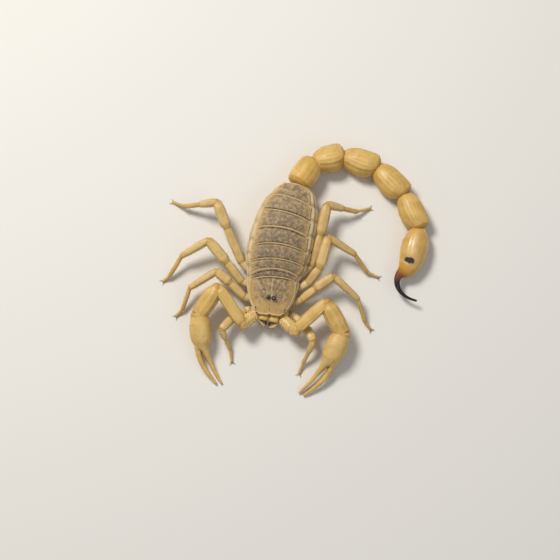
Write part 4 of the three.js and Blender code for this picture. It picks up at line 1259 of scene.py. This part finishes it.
legLook = {
    "broad": 1.14, "neck": (0.74, 0.82), "hipGap": 0.14 * mm, "hint": 5.5 * mm,
    "trochanter": {"steps": 24, "around": 44, "square": (2.2, 2.2), "tuck": (0.6, 0.55)},
    "femur": {"steps": 44, "around": 44, "square": (2.4, 2.4), "tuck": (0.7, 0.4)},
    "patella": {"steps": 44, "around": 48, "square": (2.4, 2.4), "tuck": (0.7, 0.4)},
    "tibia": {"steps": 44, "around": 40, "square": (2.2, 2.2), "tuck": (0.75, 0.45)},
    "basitarsus": {"steps": 40, "around": 36, "square": (2.1, 2.1), "tuck": (0.75, 0.5)},
    "tarsus": {"steps": 36, "around": 32, "square": (2, 2), "tuck": (0.75, 0.5)},
}
legRidges = {
    "trochanter": [],
    "femur": [(60, 0.05, 9), (120, 0.05, 9), (235, 0.06, 9), (305, 0.06, 9)],
    "patella": [(55, 0.06, 8), (125, 0.06, 8), (180, 0.03, 9), (0, 0.03, 9), (240, 0.06, 9), (300, 0.06, 9)],
    "tibia": [(70, 0.035, 9), (110, 0.035, 9), (240, 0.04, 9), (300, 0.04, 9)],
}
upperDress = {
    "pale": (0.8, 0.0), "dark": (0.08, 0.05), "warm": (0.1, 0.12, 0.8),
    "row": (0.1, 0.92, 0.3 * mm, 0.04 * mm), "rowMarks": {"grain": 0.4},
    "scatter": (50, 0.1, 0.9, (0.02 * mm, 0.035 * mm)), "hairs": (26, 0.1, 0.95, 0.55 * mm),
}
lowerDress = {
    **upperDress, "dark": (0.08, 0.04), "row": (0.1, 0.92, 0.3 * mm, 0.038 * mm), "rowMarks": {"grain": 0.35},
    "scatter": (60, 0.1, 0.92, (0.02 * mm, 0.035 * mm)), "hairs": (46, 0.08, 0.97, 0.6 * mm),
}
legDress = {
    "trochanter": {**upperDress, "pale": (0.8, 0.8), "warm": (0.1, 0.12, 0.3)}, "femur": upperDress,
    "patella": lowerDress, "tibia": lowerDress,
}
footLook = {  # spurs are share along, angles, length, thickness, lean and darkness
    "shinSpurs": (0.97, [262, 278], 0.85 * mm, 0.07 * mm, 1.2, 0.5),
    "footSpurs": (0.96, [225, 315], 0.6 * mm, 0.055 * mm, 1.0, 0.5),
    "soleRows": (250, 290), "soleReach": (0.12, 0.95, 7), "soleSpurs": (0.26 * mm, 0.035 * mm, 0.8, 0.6),
    "hairs": (44, 0.05, 0.98, 0.5 * mm), "hairLean": 0.9, "hairThick": 0.018 * mm,
}


def makeLeg(side, number):
    look = legLook
    names = [f"leg_{side}_{number}_{piece}" for piece in ("femur", "patella", "tibia", "tarsus")]
    hint = trunkAt(look["hint"], 0.0)
    hint[0] = trunkLine[0, 0]
    rows = readLimb(names, hint)
    thigh, knee, shin, foot = rows
    bend, ankle, tip = thigh[4].mean(axis=0), foot[3].mean(axis=0), foot[-1][0]
    joints = [jointBetween(a, b) for a, b in zip(rows, rows[1:])]
    hip = thigh[0][0] + look["hipGap"] * unit(thigh[0][0] - bend)
    group = f"leg_{side}_{number}"

    def addShell(heap, kind, rings, start, end):
        part = broad(link(rings, start, end, look["neck"]), look["broad"])
        skin = limbSkin(*part, look[kind], ridges(legRidges[kind]))
        addLink(heap, group, skin, legRidges[kind], legDress[kind])
        return skin

    heap = Heap()
    addShell(heap, "trochanter", thigh[1:4], hip, bend)
    addShell(heap, "femur", thigh[5:9], bend, joints[0])
    heap.make(f"{group}_thigh", paleShell, "cuticle_pale", names[0])

    for kind, name, rings, start, end in (
        ("patella", names[1], knee, joints[0], joints[1]), ("tibia", names[2], shin, joints[1], joints[2]),
    ):
        heap = Heap()
        skin = addShell(heap, kind, rings[1:-1], start, end)
        if kind == "tibia":
            addSpurs(heap, skin, unit(end - start), *footLook["shinSpurs"])
        heap.make(f"{group}_{kind}", paleShell, "cuticle_pale", name)

    heap = Heap()
    for kind, rings, start, end in (
        ("basitarsus", foot[1:4], joints[2], ankle), ("tarsus", foot[4:7], ankle, tip),
    ):
        skin = limbSkin(*link(rings, start, end), look[kind])
        way = unit(end - start)
        addSkin(heap, skin, dark=darkEnds(0.08, 0.08), warm=lambda u, a: 0.35 + 0.5 * ramp(u, 0.6, 1))
        addBristles(group, skin, *footLook["hairs"], lean=footLook["hairLean"], radius=footLook["hairThick"])
        for turn in footLook["soleRows"]:
            addSpurs(heap, skin, way, np.linspace(*footLook["soleReach"]), turn, *footLook["soleSpurs"])
        if kind == "basitarsus":
            addSpurs(heap, skin, way, *footLook["footSpurs"])
    heap.make(f"{group}_foot", paleShell, "cuticle_pale", names[3])
    makeClaws(group, ankle, tip)

    middle = np.interp(hip[1], trunkLine[:, 1], trunkLine[:, 0])
    root = np.array([middle, hip[1] - hipLook["back"], hipLook["height"]])
    root = root + hipLook["inward"] * (hip - root)
    makeHip(group, root, hip, hipLook["reach"] * np.array(hipLook["sizes"]))


# The hip of a limb under the head, wedged between its neighbours.
hipLook = {
    "reach": 0.98 * mm, "back": 0.6 * mm, "height": 2.9 * mm, "inward": 0.22,
    "sizes": (0.75, 1.0, 1.05, 0.95), "places": [0, 0.35, 0.75, 1.0],
    "ridges": [(250, 0.05, 10), (60, 0.05, 10)],
    "coxa": {"steps": 40, "around": 48, "square": (2.5, 2.5), "tuck": (0.6, 0.4)},
    "scatter": (90, 0.1, 0.95, (0.02 * mm, 0.045 * mm)), "hairs": (16, 0.1, 0.95, 0.5 * mm),
}


def makeHip(group, root, hip, sizes, across=1.0):
    look = hipLook
    reach = sizes[:, None] * np.array([[across, across, 1, 1]])
    skin = limbSkin(root, hip, zUp, np.array(look["places"]), reach, look["coxa"], ridges(look["ridges"]))
    heap = Heap()
    addSkin(heap, skin, dark=darkEnds(0.02, 0.06, 0.5), line=lambda u, a: 0.7 * ramp(u, 0.97, 1))
    addScatter(heap, skin, *look["scatter"], grain=0.25)
    addBristles("hips", skin, *look["hairs"], angles=(math.pi, 2 * math.pi))
    heap.make(f"{group}_hip", paleShell, "cuticle_pale", "prosoma_base")


# Two hooked claws and a short spur between them at the end of each foot. Each is root aside and up, way
# aside and up, length, thickness (sizes in mm) and bend.
clawLook = {
    "claws": [(0.1, 0, 0.75, 0.4, 1.15, 0.1, 0.5), (-0.1, 0, -0.75, 0.4, 1.15, 0.1, 0.5),
              (0, -0.05, 0, 0.05, 0.4, 0.08, 0.2)],
    "back": 0.15 * mm, "up": 0.16 * mm, "sides": 10, "steps": 12,
}


def makeClaws(group, ankle, tip):
    look = clawLook
    flat = unit((tip - ankle) * [1, 1, 0])
    aside = np.cross(flat, zUp)
    root = tip - look["back"] * flat + look["up"] * zUp
    rows = np.array(look["claws"])
    roots = root + rows[:, :1] * mm * aside + rows[:, 1:2] * mm * zUp
    ways = flat + rows[:, 2:3] * aside + rows[:, 3:4] * zUp
    heap = Heap()
    addThorns(heap, roots, ways, rows[:, 4] * mm, rows[:, 5] * mm, bendWay=-zUp, sag=rows[:, 6],
              sides=look["sides"], steps=look["steps"])
    heap.make(f"{group}_claws", clawShell, "cuticle_dark")


armLook = {
    "knobOut": np.array([0.75, -0.45, 0.0]) * mm, "knobRings": ((2, 0.5), (3, 1.0), (4, 1.0), (5, 0.4)),
    "hint": 4.5 * mm, "hipGap": 0.14 * mm, "hipRoot": (-0.9, 3.6, -0.9), "hipSizes": (1.0, 1.25, 1.3, 1.15),
    "hipAcross": 0.95, "wristNeck": (0.88, 0.96), "kneeLip": 0.07,
    "trochanter": {"steps": 44, "around": 90, "square": (2.2, 2.2), "tuck": (0.5, 0.5), "broad": 1.14},
    "femur": {"steps": 80, "around": 96, "square": (2.9, 2.6), "tuck": (0.6, 0.4), "broad": 1},
    "patella": {"steps": 90, "around": 110, "square": (2.3, 2.3), "tuck": (0.8, 0.35)},
    "hand": {"steps": 200, "around": 90, "square": (2.1, 2.1), "tuck": (0.75, 1.0), "capSteps": 10},
    "finger": {"steps": 120, "around": 48, "square": (2.1, 2.1), "tuck": (0.8, 1.0)},
}
armRidges = {
    "trochanter": [],
    "femur": [(48, 0.1, 6), (132, 0.1, 6), (228, 0.1, 7), (312, 0.1, 7)],
    "patella": [(48, 0.07, 5), (92, 0.04, 5), (128, 0.07, 5), (172, 0.06, 7), (200, 0.06, 7),
                (235, 0.07, 7), (305, 0.07, 7), (345, 0.06, 7), (8, 0.05, 7)],
}
armDress = {
    "dark": (0.04, 0.03, 0.7), "warm": (0.1, 0.1, 0.7),
    "row": (0.06, 0.94, 0.4 * mm, 0.13 * mm), "rowMarks": {"tall": 2.0, "rim": 0.5},
    "scatter": (260, 0.06, 0.94, (0.025 * mm, 0.05 * mm)), "hairs": (26, 0.1, 0.95, 0.8 * mm, 0.3),
}
kneeDress = {
    "pale": (1.0, 0.0), "dark": (0.05, 0.02, 0.8), "warm": (0.12, 0.1, 0.9),
    "row": (0.08, 0.94, 0.34 * mm, 0.085 * mm), "rowMarks": {"tall": 1.3, "grain": 0.3},
    "scatter": (260, 0.08, 0.92, (0.025 * mm, 0.045 * mm)), "hairs": (30, 0.1, 0.95, 0.9 * mm, 0.3),
}
wartLook = {  # on the knobs at the arms' roots: scattered ones, and rows whose every other one starts later
    "scatter": (130, 0.05, 0.95, (0.06 * mm, 0.14 * mm)), "scatterPale": 0.6, "turn": 36, "start": 0.12,
    "later": 0.1, "end": 0.95, "step": 0.72 * mm, "size": 0.2 * mm, "tall": 1.5, "pale": 0.7,
}


def addWarts(heap, skin):
    look = wartLook
    addScatter(heap, skin, *look["scatter"], rim=look["scatterPale"])
    for at in range(0, 360, look["turn"]):
        start = look["start"] + look["later"] * (at % (2 * look["turn"]) > 0)
        addRow(heap, skin, at, start, look["end"], look["step"], look["size"], look["tall"], rim=look["pale"])


def makeArm(side):
    look = armLook
    names = [f"pedipalp_{side}_{piece}" for piece in ("femur", "patella", "hand", "finger")]
    thigh, knee, palm = readLimb(names[:3], np.append(trunkLine[0, :2], look["hint"]))
    sign = 1 if side == "left" else -1
    for at, share in look["knobRings"]:  # the knob stands out to its side
        thigh[at] = thigh[at] + share * look["knobOut"] * [sign, 1, 1]
    elbow, wrist = jointBetween(thigh, knee), jointBetween(knee, palm)
    turn, start = thigh[3].mean(axis=0), (thigh[5].mean(axis=0) + thigh[6].mean(axis=0)) / 2
    hip = thigh[0][0] - look["hipGap"] * unit(turn - thigh[0][0])
    group = f"arm_{side}"

    heap = Heap()
    for kind, rings, a, b, pale in (
        ("trochanter", thigh[1:4], hip, turn, 0.7), ("trochanter", thigh[3:6], turn, start, 0.3),
        ("femur", thigh[6:12], start, elbow, 0.25),
    ):
        rows = armRidges[kind]
        skin = limbSkin(*broad(link(rings, a, b), look[kind]["broad"]), look[kind], ridges(rows))
        if kind == "trochanter":
            addWarts(heap, skin)
        addLink(heap, group, skin, rows, {**armDress, "pale": (0.8, pale)})
    heap.make(f"{group}_upper", amberShell, "cuticle_amber", names[0])

    heap = Heap()
    rows = armRidges["patella"]
    part = link(knee[1:-1], elbow, wrist, look["wristNeck"])
    skin = limbSkin(*part, look["patella"], ridges(rows, look["kneeLip"]))
    addLink(heap, group, skin, rows, kneeDress, line=lambda u, a: 0.6 * ramp(u, 0.985, 1.0))
    heap.make(f"{group}_knee", amberShell, "cuticle_amber", names[1])

    makePincer(group, names, palm, readRings(names[3], palm[8].mean(axis=0)), wrist)
    root = hip + np.array(look["hipRoot"]) * [sign, 1, 1] * mm
    makeHip(group, root, hip, np.array(look["hipSizes"]) * mm, look["hipAcross"])


def angleToward(skin, share, way):  # which angle round a skin faces a way
    row = int(np.interp(share, skin["along"], np.arange(len(skin["along"]))))
    best = (skin["normals"][row] @ unit(way)).argmax()
    return 360 * best / skin["grid"].shape[1]


# The palm runs out into the fixed finger, and the free one is set into its side. Sections in mm: how far
# from the wrist, middle aside toward the free finger, reach to the free and to the fixed side, height, half
# height.
# A finger is free of the palm from where it leaves, and its teeth begin a little farther on. Teeth are a
# step, a size and how much taller they are than round ones.
pincerLook = {
    "neck": [(7.3, -0.04, 2.15, 1.56, 3.22, 1.78), (8.0, -0.13, 1.5, 1.22, 3.05, 1.54),
             (8.75, -0.28, 1.02, 0.95, 2.86, 1.24), (9.9, -0.45, 0.78, 0.82, 2.56, 0.9)],
    "root": [(6.5, 1.45, 0.88, 0.88, 3.3, 1.4), (7.7, 1.5, 0.82, 0.82, 3.05, 1.2)],
    "bow": (-0.45, 0.08, 0.32, 0.34, 0.25, 0.1), "slim": (0.72, 0.68), "freeSlim": (0.84, 0.8), "tip": 0.5,
    "teethFrom": (0.62, 0.36), "leaves": (0.5, 0.2), "palmShare": 0.46, "wristNeck": (0.9, 0.9),
    "teethTo": 0.98, "teeth": (0.2 * mm, 0.055 * mm, 1.2),
    "pairs": 7, "pairsTo": 0.97, "pairTurn": 14, "pairTooth": 0.07 * mm, "seamWide": 42,
    "spots": [(0.62, 96), (0.8, 66), (0.76, 118), (0.45, 82), (0.9, 104)], "spot": 0.1 * mm,
    "palmScatter": (520, 0.02, 0.46, (0.02 * mm, 0.04 * mm)), "palmHairs": (60, 0.03, 0.46, 0.85 * mm, 0.25),
    "scatter": (160, (0.018 * mm, 0.03 * mm)), "hairs": (30, 0.6 * mm, 0.2), "fingerTo": 0.95,
}


def fingerRings(rings, slim):
    centres = np.array([ring.mean(axis=0) for ring in rings])
    return centres, ringReach(rings, centres) * np.linspace(slim[0], slim[1], len(rings))[:, None]


def makePincer(group, names, palm, claw, wrist):
    look = pincerLook
    palmEnd = palm[7].mean(axis=0)
    flat = unit((palmEnd - wrist) * [1, 1, 0])
    free = np.cross(flat, zUp)
    sign = 1 if (claw[2].mean(axis=0) - wrist) @ free > 0 else -1
    free = sign * free

    def sections(rows):
        rows = np.array(rows) * mm
        middle = wrist * [1, 1, 0] + rows[:, :1] * flat + rows[:, 1:2] * free + rows[:, 4:5] * zUp
        return middle, rows[:, [2, 3, 5, 5] if sign > 0 else [3, 2, 5, 5]]

    _, _, _, places, palmReach = link(palm[1:7], wrist, palmEnd, look["wristNeck"])
    neck, neckReach = sections(look["neck"])
    fixed, fixedReach = fingerRings(palm[10:14], look["slim"])
    line = np.vstack([wrist + places[:, None] * (palmEnd - wrist), neck, fixed, [palm[-1][0]]])
    sizes = np.vstack([palmReach, neckReach, fixedReach, look["tip"] * fixedReach[-1:]])
    hand = bentSkin(line, zUp, sizes, armLook["hand"])
    root, rootReach = sections(look["root"])
    swing, swingReach = fingerRings(claw[1:-1], look["freeSlim"])
    swing = swing + np.array(look["bow"])[:, None] * mm * free
    line = np.vstack([root, swing, [claw[-1][0]]])
    sizes = np.vstack([rootReach, swingReach, look["tip"] * swingReach[-1:]])
    swing = bentSkin(line, zUp, sizes, armLook["finger"])

    heap, loose = Heap(), Heap()
    addScatter(heap, hand, *look["palmScatter"], grain=0.22)
    spots = np.array(look["spots"]) * [look["palmShare"], 1]
    at, way = onSkin(hand, spots[:, 0], np.radians(spots[:, 1]))
    addGrains(heap, at, way, look["spot"], tall=0.4, grain=0.95)
    addBristles(group, hand, *look["palmHairs"])
    apart = claw[4].mean(axis=0) - palm[11].mean(axis=0)
    # The palm is paler along its top, a painted highlight that runs on into the fixed finger. Its wrist and
    # tip are darker shell.
    handMarksWithHighlight = {
        "rim": lambda u, a: 0.25 + 0.4 * turned(a, 90, 26) * arch(u / look["palmShare"]),
        "dark": lambda u, a: np.maximum(0.8 * (1 - ramp(u, 0.0, 0.02)), 0.6 * ramp(u, 0.98, 1.0)),
    }
    fingerMarks = {"rim": lambda u, a: 0.15, "dark": lambda u, a: 0.6 * ramp(u, 0.95, 1.0)}
    for target, finger, toward, marks, first, leaves in (
        (heap, hand, apart, handMarksWithHighlight, look["teethFrom"][0], look["leaves"][0]),
        (loose, swing, -apart, fingerMarks, look["teethFrom"][1], look["leaves"][1]),
    ):
        facing = angleToward(finger, (1 + leaves) / 2, toward)

        # Painted shade: a dark line where the fingers face each other as they part. The same strip is also
        # warmer.
        def fingerGap(u, a):
            along = ramp(u, leaves - 0.1, leaves) * (1 - ramp(u, leaves + 0.06, leaves + 0.2))
            return turned(a, facing, look["seamWide"]) * along

        addSkin(target, finger, warm=lambda u, a: np.maximum(0.35 * ramp(u, 0.9, 1.0), 0.6 * fingerGap(u, a)),
                line=lambda u, a: 0.8 * fingerGap(u, a), **marks)
        addRow(target, finger, facing, first, look["teethTo"], *look["teeth"], grain=0.8)
        for k in range(look["pairs"]):
            share = np.full(2, first + (look["pairsTo"] - first) * (k + 0.5) / look["pairs"])
            turns = np.radians([facing - look["pairTurn"], facing + look["pairTurn"]]) % (2 * math.pi)
            points, ways = onSkin(finger, share, turns)
            addGrains(target, points, ways, look["pairTooth"], tall=1.3, grain=0.85)
        (grains, sizes), (hairs, long, lean) = look["scatter"], look["hairs"]
        addScatter(target, finger, grains, leaves, look["fingerTo"], sizes, grain=0.25)
        addBristles(group, finger, hairs, leaves, look["fingerTo"], long, lean)
    heap.make(f"{group}_hand", amberShell, "cuticle_amber", names[2])
    loose.make(f"{group}_finger", amberShell, "cuticle_amber", names[3])


for side in ("right", "left"):
    makeArm(side)
    for number in (1, 2, 3, 4):
        makeLeg(side, number)
print("limbs made")


# The underside: a body between the hips, its breastplate and covers, two combs and five belly plates.
# Its rows are distances from the shield's front edge, half widths and roof heights in mm. Covers are
# distances back and aside, and half sizes.
underLook = {
    "core": [(0.4, 1.75, 3.4), (2.6, 2.5, 3.4), (5.4, 2.9, 4.7), (9.4, 2.9, 4.7), (12.9, 2.6, 4.7),
             (14.8, 1.6, 4.6)],
    "coreHeight": 3.1 * mm, "coreFloor": 1.62 * mm, "square": 2.6, "steps": 80, "around": 96,
    "rounded": 1.2 * mm, "leastEnd": 0.03,
    "covers": [(9.2, 0.0, 1.15, 1.7), (12.4, 0.8, 0.75, 0.95), (12.4, -0.8, 0.75, 0.95)],
    "coverLift": 0.02 * mm, "coverHigh": 0.16, "coverAround": 48,
}
sterniteLook = {  # slits are share along, share aside and their widths, and keels are two shares aside
    "rows": 44, "columns": 110, "plateWide": 0.9, "thick": 0.25 * mm, "first": 13.9 * mm,
    "overlap": 0.55 * mm, "corner": 0.3 * mm, "rise": 0.14 * mm, "sunk": 0.16 * mm,
    "lip": (0.05, 0.16, 0.12), "edge": (0.14, 0.14),
    "slit": (0.52, 0.62), "slitWide": (0.05, 0.08), "slitDeep": 0.1 * mm, "keels": (0.3, 0.72),
    "keelWide": 0.02, "keelHigh": 0.05 * mm, "grains": 160, "grainSizes": (0.025, 0.045),
}


def makeBreast():
    look = underLook
    table = np.array(look["core"]) * mm
    s = np.linspace(table[0, 0], table[-1, 0], look["steps"])
    half, roof = smoothThrough(table[:, 0], table[:, 1:], s).T
    ends = np.sqrt(np.clip(np.minimum(s - s[0], s[-1] - s) / look["rounded"], look["leastEnd"], 1))
    centres = lineAt(s) + look["coreHeight"] * zUp
    below = np.full(len(s), look["coreHeight"] - look["coreFloor"])
    reach = np.stack([half, half, roof - look["coreHeight"], below], -1) * ends[:, None]
    grid = sweep(centres, zUp, reach, (look["square"], look["square"]), look["around"])
    heap = Heap()
    skin = {"grid": grid, "ends": grid[[0, -1]].mean(axis=1), "along": np.linspace(0, 1, len(s)),
            "normals": normalsOf(grid)}
    addSkin(heap, skin, dark=lambda u, a: 0.1 + 0.3 * np.abs(np.cos(a)))
    heap.make("breast_skin", softSkin, "cuticle_pale", "prosoma_base")

    heap = Heap()
    for back, aside, wide, long in look["covers"]:
        at = lineAt(np.array(back * mm)) + [aside * mm, 0, look["coreFloor"] + look["coverLift"]]
        addBall(heap, at, mm, look["coverAround"], (wide, long, look["coverHigh"]), warm=0.3)
    heap.make("breastplate", paleShell, "cuticle_pale", "prosoma_base")


def makeSternite(k):
    look = sterniteLook
    u, v = plateGrid(look)
    front = look["first"] if k == 3 else rimPlaces[k - 1] - look["overlap"]
    s = front + (rimPlaces[k] - look["corner"] * ramp(np.abs(v), 0.8, 1) - front) * u
    toRear, toSide = rimPlaces[k] - s, (1 - np.abs(v)) * trunkHalf(s)
    lift = look["rise"] * u**1.5 - look["sunk"] * (1 - ramp(s - rimPlaces[k - 1], -0.3 * mm, 0.6 * mm))
    lift = lift + swell(toRear, *look["lip"]) - fall(np.minimum(toSide, toRear), *look["edge"])
    along, aside = (hump(x, at, wide) for x, at, wide in zip((u, np.abs(v)), look["slit"], look["slitWide"]))
    slit = along * aside * (k < 7)
    keels = sum(hump(np.abs(v), at, look["keelWide"]) for at in look["keels"])
    lift = lift - look["slitDeep"] * slit + look["keelHigh"] * keels * np.sin(math.pi * u) * (k == 7)
    outer, inner, higher = plateFaces(s, bellyAngle(look["plateWide"] * v), lift, look["thick"])
    pale = np.maximum(1 - between(toRear, 0.2, 0.4), 0.6 * (1 - between(toSide, 0.1, 0.3)))
    heap = Heap()
    addPlate(heap, outer[:, ::-1], inner[:, ::-1], rim=pale[:, ::-1], line=slit[:, ::-1], warm=0.3 * u,
             dark=0.3 * (1 - ramp(u, 0.1, 0.3)))
    rows = dice.integers(8, look["rows"] - 4, look["grains"])
    columns = dice.integers(4, look["columns"] - 4, look["grains"])
    size = dice.uniform(*look["grainSizes"], look["grains"]) * mm
    addPlateGrains(heap, outer, higher, rows, columns, size, grain=0.2)
    heap.make(f"sternite_{k}", paleShell, "cuticle_pale", f"mesosoma_{k}")


# Two combs on a round middle piece. A shaft's widths (mm) are given along it, and a tooth's half sizes.
combLook = {
    "long": 5.4 * mm, "turn": 24, "back": 1.2 * mm, "teeth": 10, "tooth": 0.72 * mm, "middle": (0.85, 0.95),
    "shaft": {"steps": 60, "around": 40, "square": (2.6, 2.6), "tuck": (0.5, 0.9)},
    "blade": {"steps": 14, "around": 20, "square": (2.4, 2.4), "tuck": (0.5, 0.7), "capSteps": 4},
    "places": [0, 0.45, 1.0], "widths": [0.62, 0.85, 0.22], "steps": 9, "shaftShare": 0.95, "shaftHigh": 0.85,
    "hairs": (60, 0.05, 0.95, 0.35 * mm), "firstTooth": 0.55, "toothIn": 0.12 * mm, "toothTip": 0.14 * mm,
    "toothPlaces": [0, 0.6, 1.0], "toothSizes": [0.13, 0.13, 0.24, 0.24], "toothShares": [1.0, 1.25, 0.95],
    "bead": 0.15 * mm, "beadLow": 0.8, "beadAround": 14,
}


def makeCombs():
    look = combLook
    low, high = (np.array(corner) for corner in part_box("pectines"))
    middle, half = (low + high) / 2, (high[2] - low[2]) / 2
    root = np.array([middle[0], low[1] + look["back"], middle[2]])
    turn = math.radians(look["turn"])
    heap = Heap()
    addBall(heap, root, mm, stretch=(*look["middle"], half / mm))
    share = np.linspace(0, 1, look["steps"])
    wide = smoothThrough(look["places"], np.array(look["widths"]) * mm, share)
    tall = np.full(look["steps"], look["shaftHigh"] * half)
    stout = np.array([look["toothSizes"]]) * mm * np.array(look["toothShares"])[:, None]
    pitch = look["long"] / look["teeth"]
    for sign in (-1, 1):
        out = np.array([sign * math.cos(turn), math.sin(turn), 0])
        rear = np.array([-sign * math.sin(turn), math.cos(turn), 0])
        centres = root + share[:, None] * look["long"] * look["shaftShare"] * out - wide[:, None] / 2 * rear
        shaft = bentSkin(centres, zUp, np.stack([wide / 2, wide / 2, tall, tall], -1), look["shaft"])
        addSkin(heap, shaft, warm=lambda u, a: 0.3, rim=lambda u, a: 0.3 * turned(a, 270, 30))
        addBristles("combs", shaft, *look["hairs"], angles=(math.pi, 2 * math.pi))
        for k in range(look["teeth"]):
            at = root + (k + look["firstTooth"]) * pitch * out
            start, end = at - look["toothIn"] * rear, at + (look["tooth"] - look["toothTip"]) * rear
            blade = limbSkin(start, end, zUp, np.array(look["toothPlaces"]), stout, look["blade"])
            addSkin(heap, blade, rim=lambda u, a: 0.5 * u)
            addBall(heap, at - look["beadLow"] * half * zUp, look["bead"], look["beadAround"])
    heap.make("combs", paleShell, "cuticle_pale", "pectines")


makeBreast()
for k in range(3, 8):
    makeSternite(k)
makeCombs()
print("underside made")


def makeBristles():
    look = bristleLook
    sides, steps = look["sides"], look["steps"]
    ring = np.append(np.tile(np.arange(sides), steps), 0) / sides
    level = np.append(np.repeat(np.arange(steps), sides), steps) / steps
    inside = np.stack([ring - 0.5, level - 0.5], -1) * look["patch"]
    wide = 1 - 2 * look["margin"]
    for group, stretches in bristleRoots.items():
        heap = Heap()
        for column, (roots, ways, size, radius, spots) in enumerate(stretches):
            points, parts = thornShapes(roots, ways, size, radius, -zUp, look["sag"], sides, steps)
            across = (column + look["margin"] + wide * spots[:, 1]) / len(stretches)
            patch = np.stack([across, look["margin"] + wide * spots[:, 0]], -1)
            heap.add(points.reshape(-1, 3), parts, {"along": np.tile(level, len(points))},
                     (patch[:, None] + inside[None]).reshape(-1, 2))
        slot = "cuticle_amber" if group.startswith(("tail", "sting", "arm")) else "cuticle_pale"
        heap.make(f"bristles_{group}", bristle, slot)


makeBristles()
print("bristles made")


# Floor, camera and light. Lamps stand this far up, right and above, as the camera sees the floor.
stageLook = {
    "floorSide": 1.2, "floorColour": (0.80, 0.775, 0.735), "floorRoughness": 0.9, "elevation": 80,
    "turn": 12.75, "fieldOfView": 20, "distance": 0.397, "aimAside": -1.8 * mm, "aimAlong": -3.7 * mm,
    "nearest": 0.01, "roomColour": (0.95, 0.97, 1.0), "roomLight": 0.3,
    "lamps": {
        "key": {"way": (0.62, -0.5, 1.15), "distance": 0.5, "size": 0.16, "power": 2.0,
                "colour": (1.0, 0.965, 0.90)},
        "fill": {"way": (-0.6, 0.8, 1.0), "distance": 0.6, "size": 0.5, "power": 0.42,
                 "colour": (0.86, 0.92, 1.0)},
    },
}


def place(name, data, where, target):
    thing = bpy.data.objects.new(name, data)
    bpy.context.scene.collection.objects.link(thing)
    thing.location = where
    thing.rotation_euler = (Vector(target) - Vector(where)).to_track_quat("-Z", "Y").to_euler()
    return thing


def makeFloor():
    look = stageLook
    side = look["floorSide"] / 2
    mesh = bpy.data.meshes.new("floor")
    corners = [(-side, -side, 0), (side, -side, 0), (side, side, 0), (-side, side, 0)]
    mesh.from_pydata(corners, [], [(0, 1, 2, 3)])
    floor = bpy.data.objects.new("floor", mesh)
    bpy.context.scene.collection.objects.link(floor)
    paper = bpy.data.materials.new("floor_paper")
    paper.use_nodes = True
    shader = paper.node_tree.nodes["Principled BSDF"]
    shader.inputs["Base Color"].default_value = (*look["floorColour"], 1)
    shader.inputs["Roughness"].default_value = look["floorRoughness"]
    mesh.materials.append(paper)


def makeStage():
    look = stageLook
    elevation, turn = math.radians(look["elevation"]), math.radians(look["turn"])
    aim = np.array([look["aimAside"], look["aimAlong"], 0])
    up = np.array([-math.sin(turn), math.cos(turn), 0])
    right = np.array([math.cos(turn), math.sin(turn), 0])
    away = math.sin(elevation) * zUp - math.cos(elevation) * up
    data = bpy.data.cameras.new("camera")
    data.angle = math.radians(look["fieldOfView"])
    data.clip_start = look["nearest"]
    bpy.context.scene.camera = place("camera", data, aim + away * look["distance"], aim)

    for name, lamp in look["lamps"].items():
        data = bpy.data.lights.new(name, "AREA")
        data.shape, data.size, data.energy, data.color = "DISK", lamp["size"], lamp["power"], lamp["colour"]
        way = unit(lamp["way"] @ np.array([up, right, zUp]))
        place(name, data, aim + lamp["distance"] * way, aim)
    world = bpy.data.worlds.new("room")
    bpy.context.scene.world = world
    world.use_nodes = True
    background = world.node_tree.nodes["Background"]
    background.inputs["Color"].default_value = (*look["roomColour"], 1)
    background.inputs["Strength"].default_value = look["roomLight"]
    bpy.context.scene.view_settings.view_transform = "Standard"


makeFloor()
makeStage()
